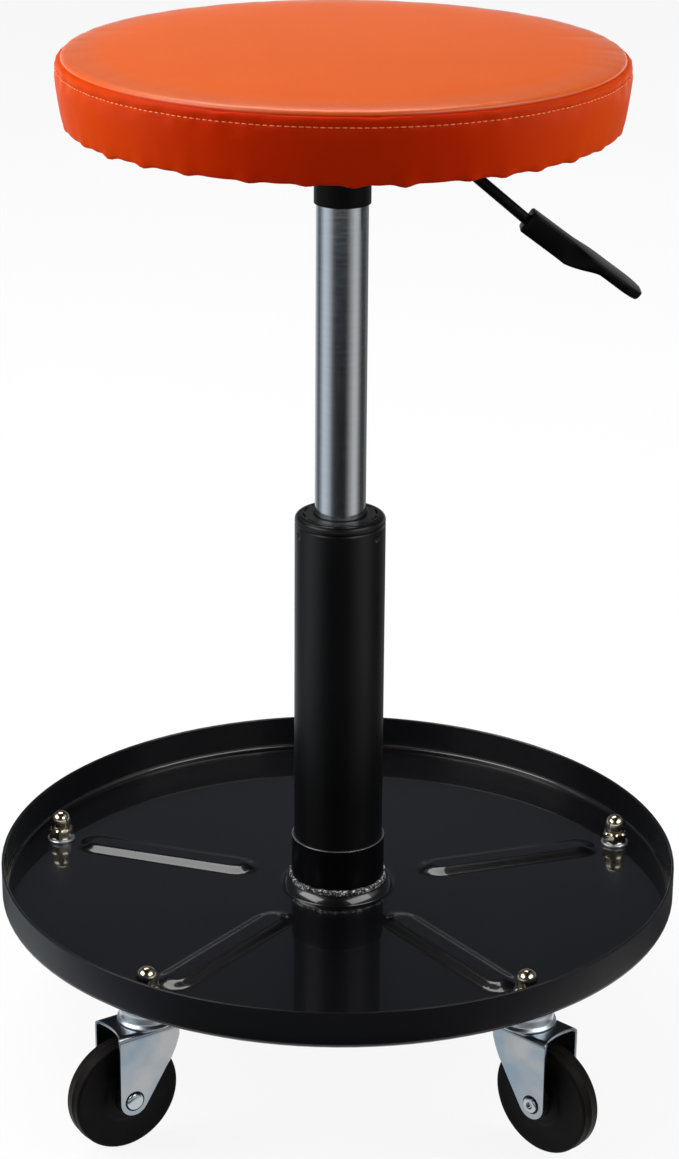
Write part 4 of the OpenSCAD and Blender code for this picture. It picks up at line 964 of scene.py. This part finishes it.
def cover_faces(rows, wide):
    """Faces of the cover's grid from hem to crown, with a fan round the crown's point."""
    last = (rows - 1) * wide
    return woven(rows, wide) + [(last + k, last + (k + 1) % wide, rows * wide) for k in range(wide)]


def swept(rows):
    """Pairs of (out, up) carried round the axis: rows by angles by three."""
    return np.stack([np.outer(rows[:, 0], np.cos(cover_turn)), np.outer(rows[:, 0], np.sin(cover_turn)),
                     np.outer(rows[:, 1], np.ones(cover_turns))], axis=2)


def simulated():
    """How far the cloth moves each point of a coarse grid: rows by angles by three, in millimetres."""
    picked = np.unique(np.concatenate([np.arange(0, row_count, 3), [row_count - 1]]))
    angles = np.linspace(0, math.tau, cloth_turns, endpoint=False)
    verts = [(r * math.cos(a), r * math.sin(a), z) for r, z in cover_rows[picked] for a in angles]
    verts.append((0, 0, seam_z + crown_up))
    obj = shaped("cover_cloth", verts, cover_faces(len(picked), cloth_turns), unit=MM)
    held = obj.vertex_groups.new(name="held")
    apart, _ = from_bulge(angles)
    for j, along in enumerate(row_along[picked]):
        for k in range(cloth_turns):
            weight = 0.0
            if along < fold_at - 2.5:
                weight = 1.0
            elif along < fold_at + 2.0:
                weight = float(np.clip(abs(apart[k]) * fold_r / held_w, 0, 1))
            elif abs(along - seam_at) < 1.6:
                weight = held_seam
            held.add([j * cloth_turns + k], weight, "REPLACE")
    cloth = obj.modifiers.new("cloth", "CLOTH")
    setup(cloth.settings, vertex_group_mass="held", quality=6, mass=0.4, tension_stiffness=40,
          compression_stiffness=40, bending_stiffness=2.0, use_pressure=True, uniform_pressure_force=4.0)
    cloth.settings.effector_weights.gravity = 0.0
    setup(cloth.point_cache, frame_start=1, frame_end=cloth_frames)
    for number in range(1, cloth_frames + 1):
        bpy.context.scene.frame_set(number)
    shown = obj.evaluated_get(bpy.context.evaluated_depsgraph_get())
    moved = np.array([v.co for v in shown.data.vertices]) / MM
    start = np.array([v.co for v in obj.data.vertices]) / MM
    bpy.context.scene.frame_set(1)
    bpy.data.objects.remove(obj)
    return picked, (moved - start)[:-1].reshape(len(picked), cloth_turns, 3)


def between(values, at):
    """Reads rows of values at places between the rows."""
    low = np.minimum(np.floor(at).astype(int), len(values) - 2)
    part = (at - low)[:, None, None]
    return values[low] * (1 - part) + values[low + 1] * part


cover_grid = swept(cover_rows)
picked, shift = simulated()
shift *= np.minimum(1, cloth_most / np.maximum(np.linalg.norm(shift, axis=2, keepdims=True), 1e-6))
ring = np.concatenate([shift, shift[:, :1]], axis=1).swapaxes(0, 1)
by_turn = between(ring, cover_turn / math.tau * cloth_turns).swapaxes(0, 1)
cloth_shift = between(by_turn, np.interp(np.arange(row_count), picked, np.arange(len(picked))))
on_side = np.clip((seam_at + 2 - row_along) / 6, 0.12, 0.6)
cover_grid += on_side[:, None, None] * cloth_shift

outward = swept(row_normal)


def bump_at(where, width):
    """1 on a line round the cover and near 0 beyond its width, for every row."""
    return np.exp(-((row_along - where) / width) ** 2)


def ripple(count, spread, seed):
    """A wavy line round the cover with about count waves, between -1 and 1."""
    draw_of = np.random.default_rng(seed)
    waves = draw_of.integers(int(count * (1 - spread)), int(count * (1 + spread)) + 1, 6)
    total = sum(np.sin(n * cover_turn + draw_of.uniform(0, math.tau)) for n in waves)
    return total / np.abs(total).max()


rise = -0.5 * np.outer(bump_at(seam_at, 0.7), np.ones(cover_turns))
rise += 0.4 * np.outer(bump_at((seam_at + stitch_at) / 2, 1.6), np.ones(cover_turns))
rise += -0.4 * np.outer(bump_at(stitch_at, 0.7), 1 + 0.35 * ripple(150, 0.3, 3))
below = np.clip((stitch_at - row_along) / 9, 0, 1)
hanging = np.where(row_along < stitch_at, (1 - below) * smooth_step(below * 9), 0)
rise += 0.22 * np.outer(hanging, ripple(95, 0.3, 4))
rise += 0.3 * np.outer(bump_at((fold_at + stitch_at) / 2, 12), ripple(17, 0.5, 5))
past_seam = np.where(row_along > seam_at, np.exp(-(row_along - seam_at) / 9), 0)
rise += 0.12 * np.outer(past_seam, ripple(60, 0.4, 6))
apart, size = from_bulge(cover_turn)
drip = size * np.exp(-(apart * fold_r / bulge_w) ** 2)
crease = np.exp(-((np.abs(apart) * fold_r - crease_at) / crease_w) ** 2)
edge = bump_at(fold_at, 2.6)
up_band = np.where(row_along > fold_at, np.exp(-(row_along - fold_at) / 6.5), bump_at(fold_at, 3))
rise += 0.55 * np.outer(up_band, drip) - 0.35 * np.outer(up_band, crease)
cover_grid += rise[:, :, None] * outward
cover_grid[:, :, 2] -= np.outer(edge, drip - 0.35)
cover_grid[:, :, 2] -= np.outer(edge, 0.35 * ripple(9, 0.6, 8))
cover_verts = cover_grid.reshape(-1, 3).tolist() + [(0, 0, float(cover_grid[-1, :, 2].mean()) + 0.05)]
cover = piece("vinyl_cover", cover_verts, cover_faces(row_count, cover_turns), vinyl_look, "seat",
              "seat_cover", "vinyl", 80)
mark(cover, "groove", np.append(np.repeat(bump_at(seam_at, 0.7), cover_turns), 0))
setup(cover.modifiers.new("skin", "SOLIDIFY"), thickness=skin_t * MM, offset=-1)

# Stitches. A pale orange thread holds the seam and shows as a row of short dashes, 3.5 mm apart. It lies on
# the finished cover's own rows of points, so it follows every pucker.
stitch = {"Pitch": 3.5, "Length": 2.9, "Thickness": 0.66}
stitch_proud = 0.12
thread_look = Finish("orange_thread", {})
twist = thread_look.noise(1500, 2)
thread_look.tone(twist, (255, 128, 66), (255, 152, 92))
thread_look.gloss(twist, 0.55, 0.7)
stitch_row = int(np.argmin(np.abs(row_along - stitch_at)))
stitch_line = cover_grid[stitch_row] + stitch_proud * outward[stitch_row]
line_edges = [(k, (k + 1) % cover_turns) for k in range(cover_turns)]
stitches = shaped("stitches", stitch_line, [], line_edges, MM)


def sew(graph, given):
    """Lays one short thread at each step of the line, along it."""
    line = graph.node("GeometryNodeMeshToCurve", {}, {0: given["Geometry"]})
    points = graph.node("GeometryNodeResampleCurve", {"mode": "LENGTH"}, {
        "Curve": line, "Length": given["Pitch"]})
    along = graph.node("GeometryNodeInputTangent")
    turn = graph.node("FunctionNodeAlignRotationToVector", {"axis": "X"}, {"Vector": along})
    size = graph.node("ShaderNodeCombineXYZ", {}, {
        "X": given["Length"] * 0.5, "Y": given["Thickness"] * 0.5, "Z": given["Thickness"] * 0.5})
    bead = graph.node("GeometryNodeMeshUVSphere", {}, {"Segments": 8, "Rings": 6, "Radius": 1.0})
    return graph.node("GeometryNodeInstanceOnPoints", {}, {
        "Points": points, "Instance": bead, "Rotation": turn, "Scale": size})


built(stitches, "sewn_line", thread_look, {k: v * MM for k, v in stitch.items()}, sew)
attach(stitches, "seat")
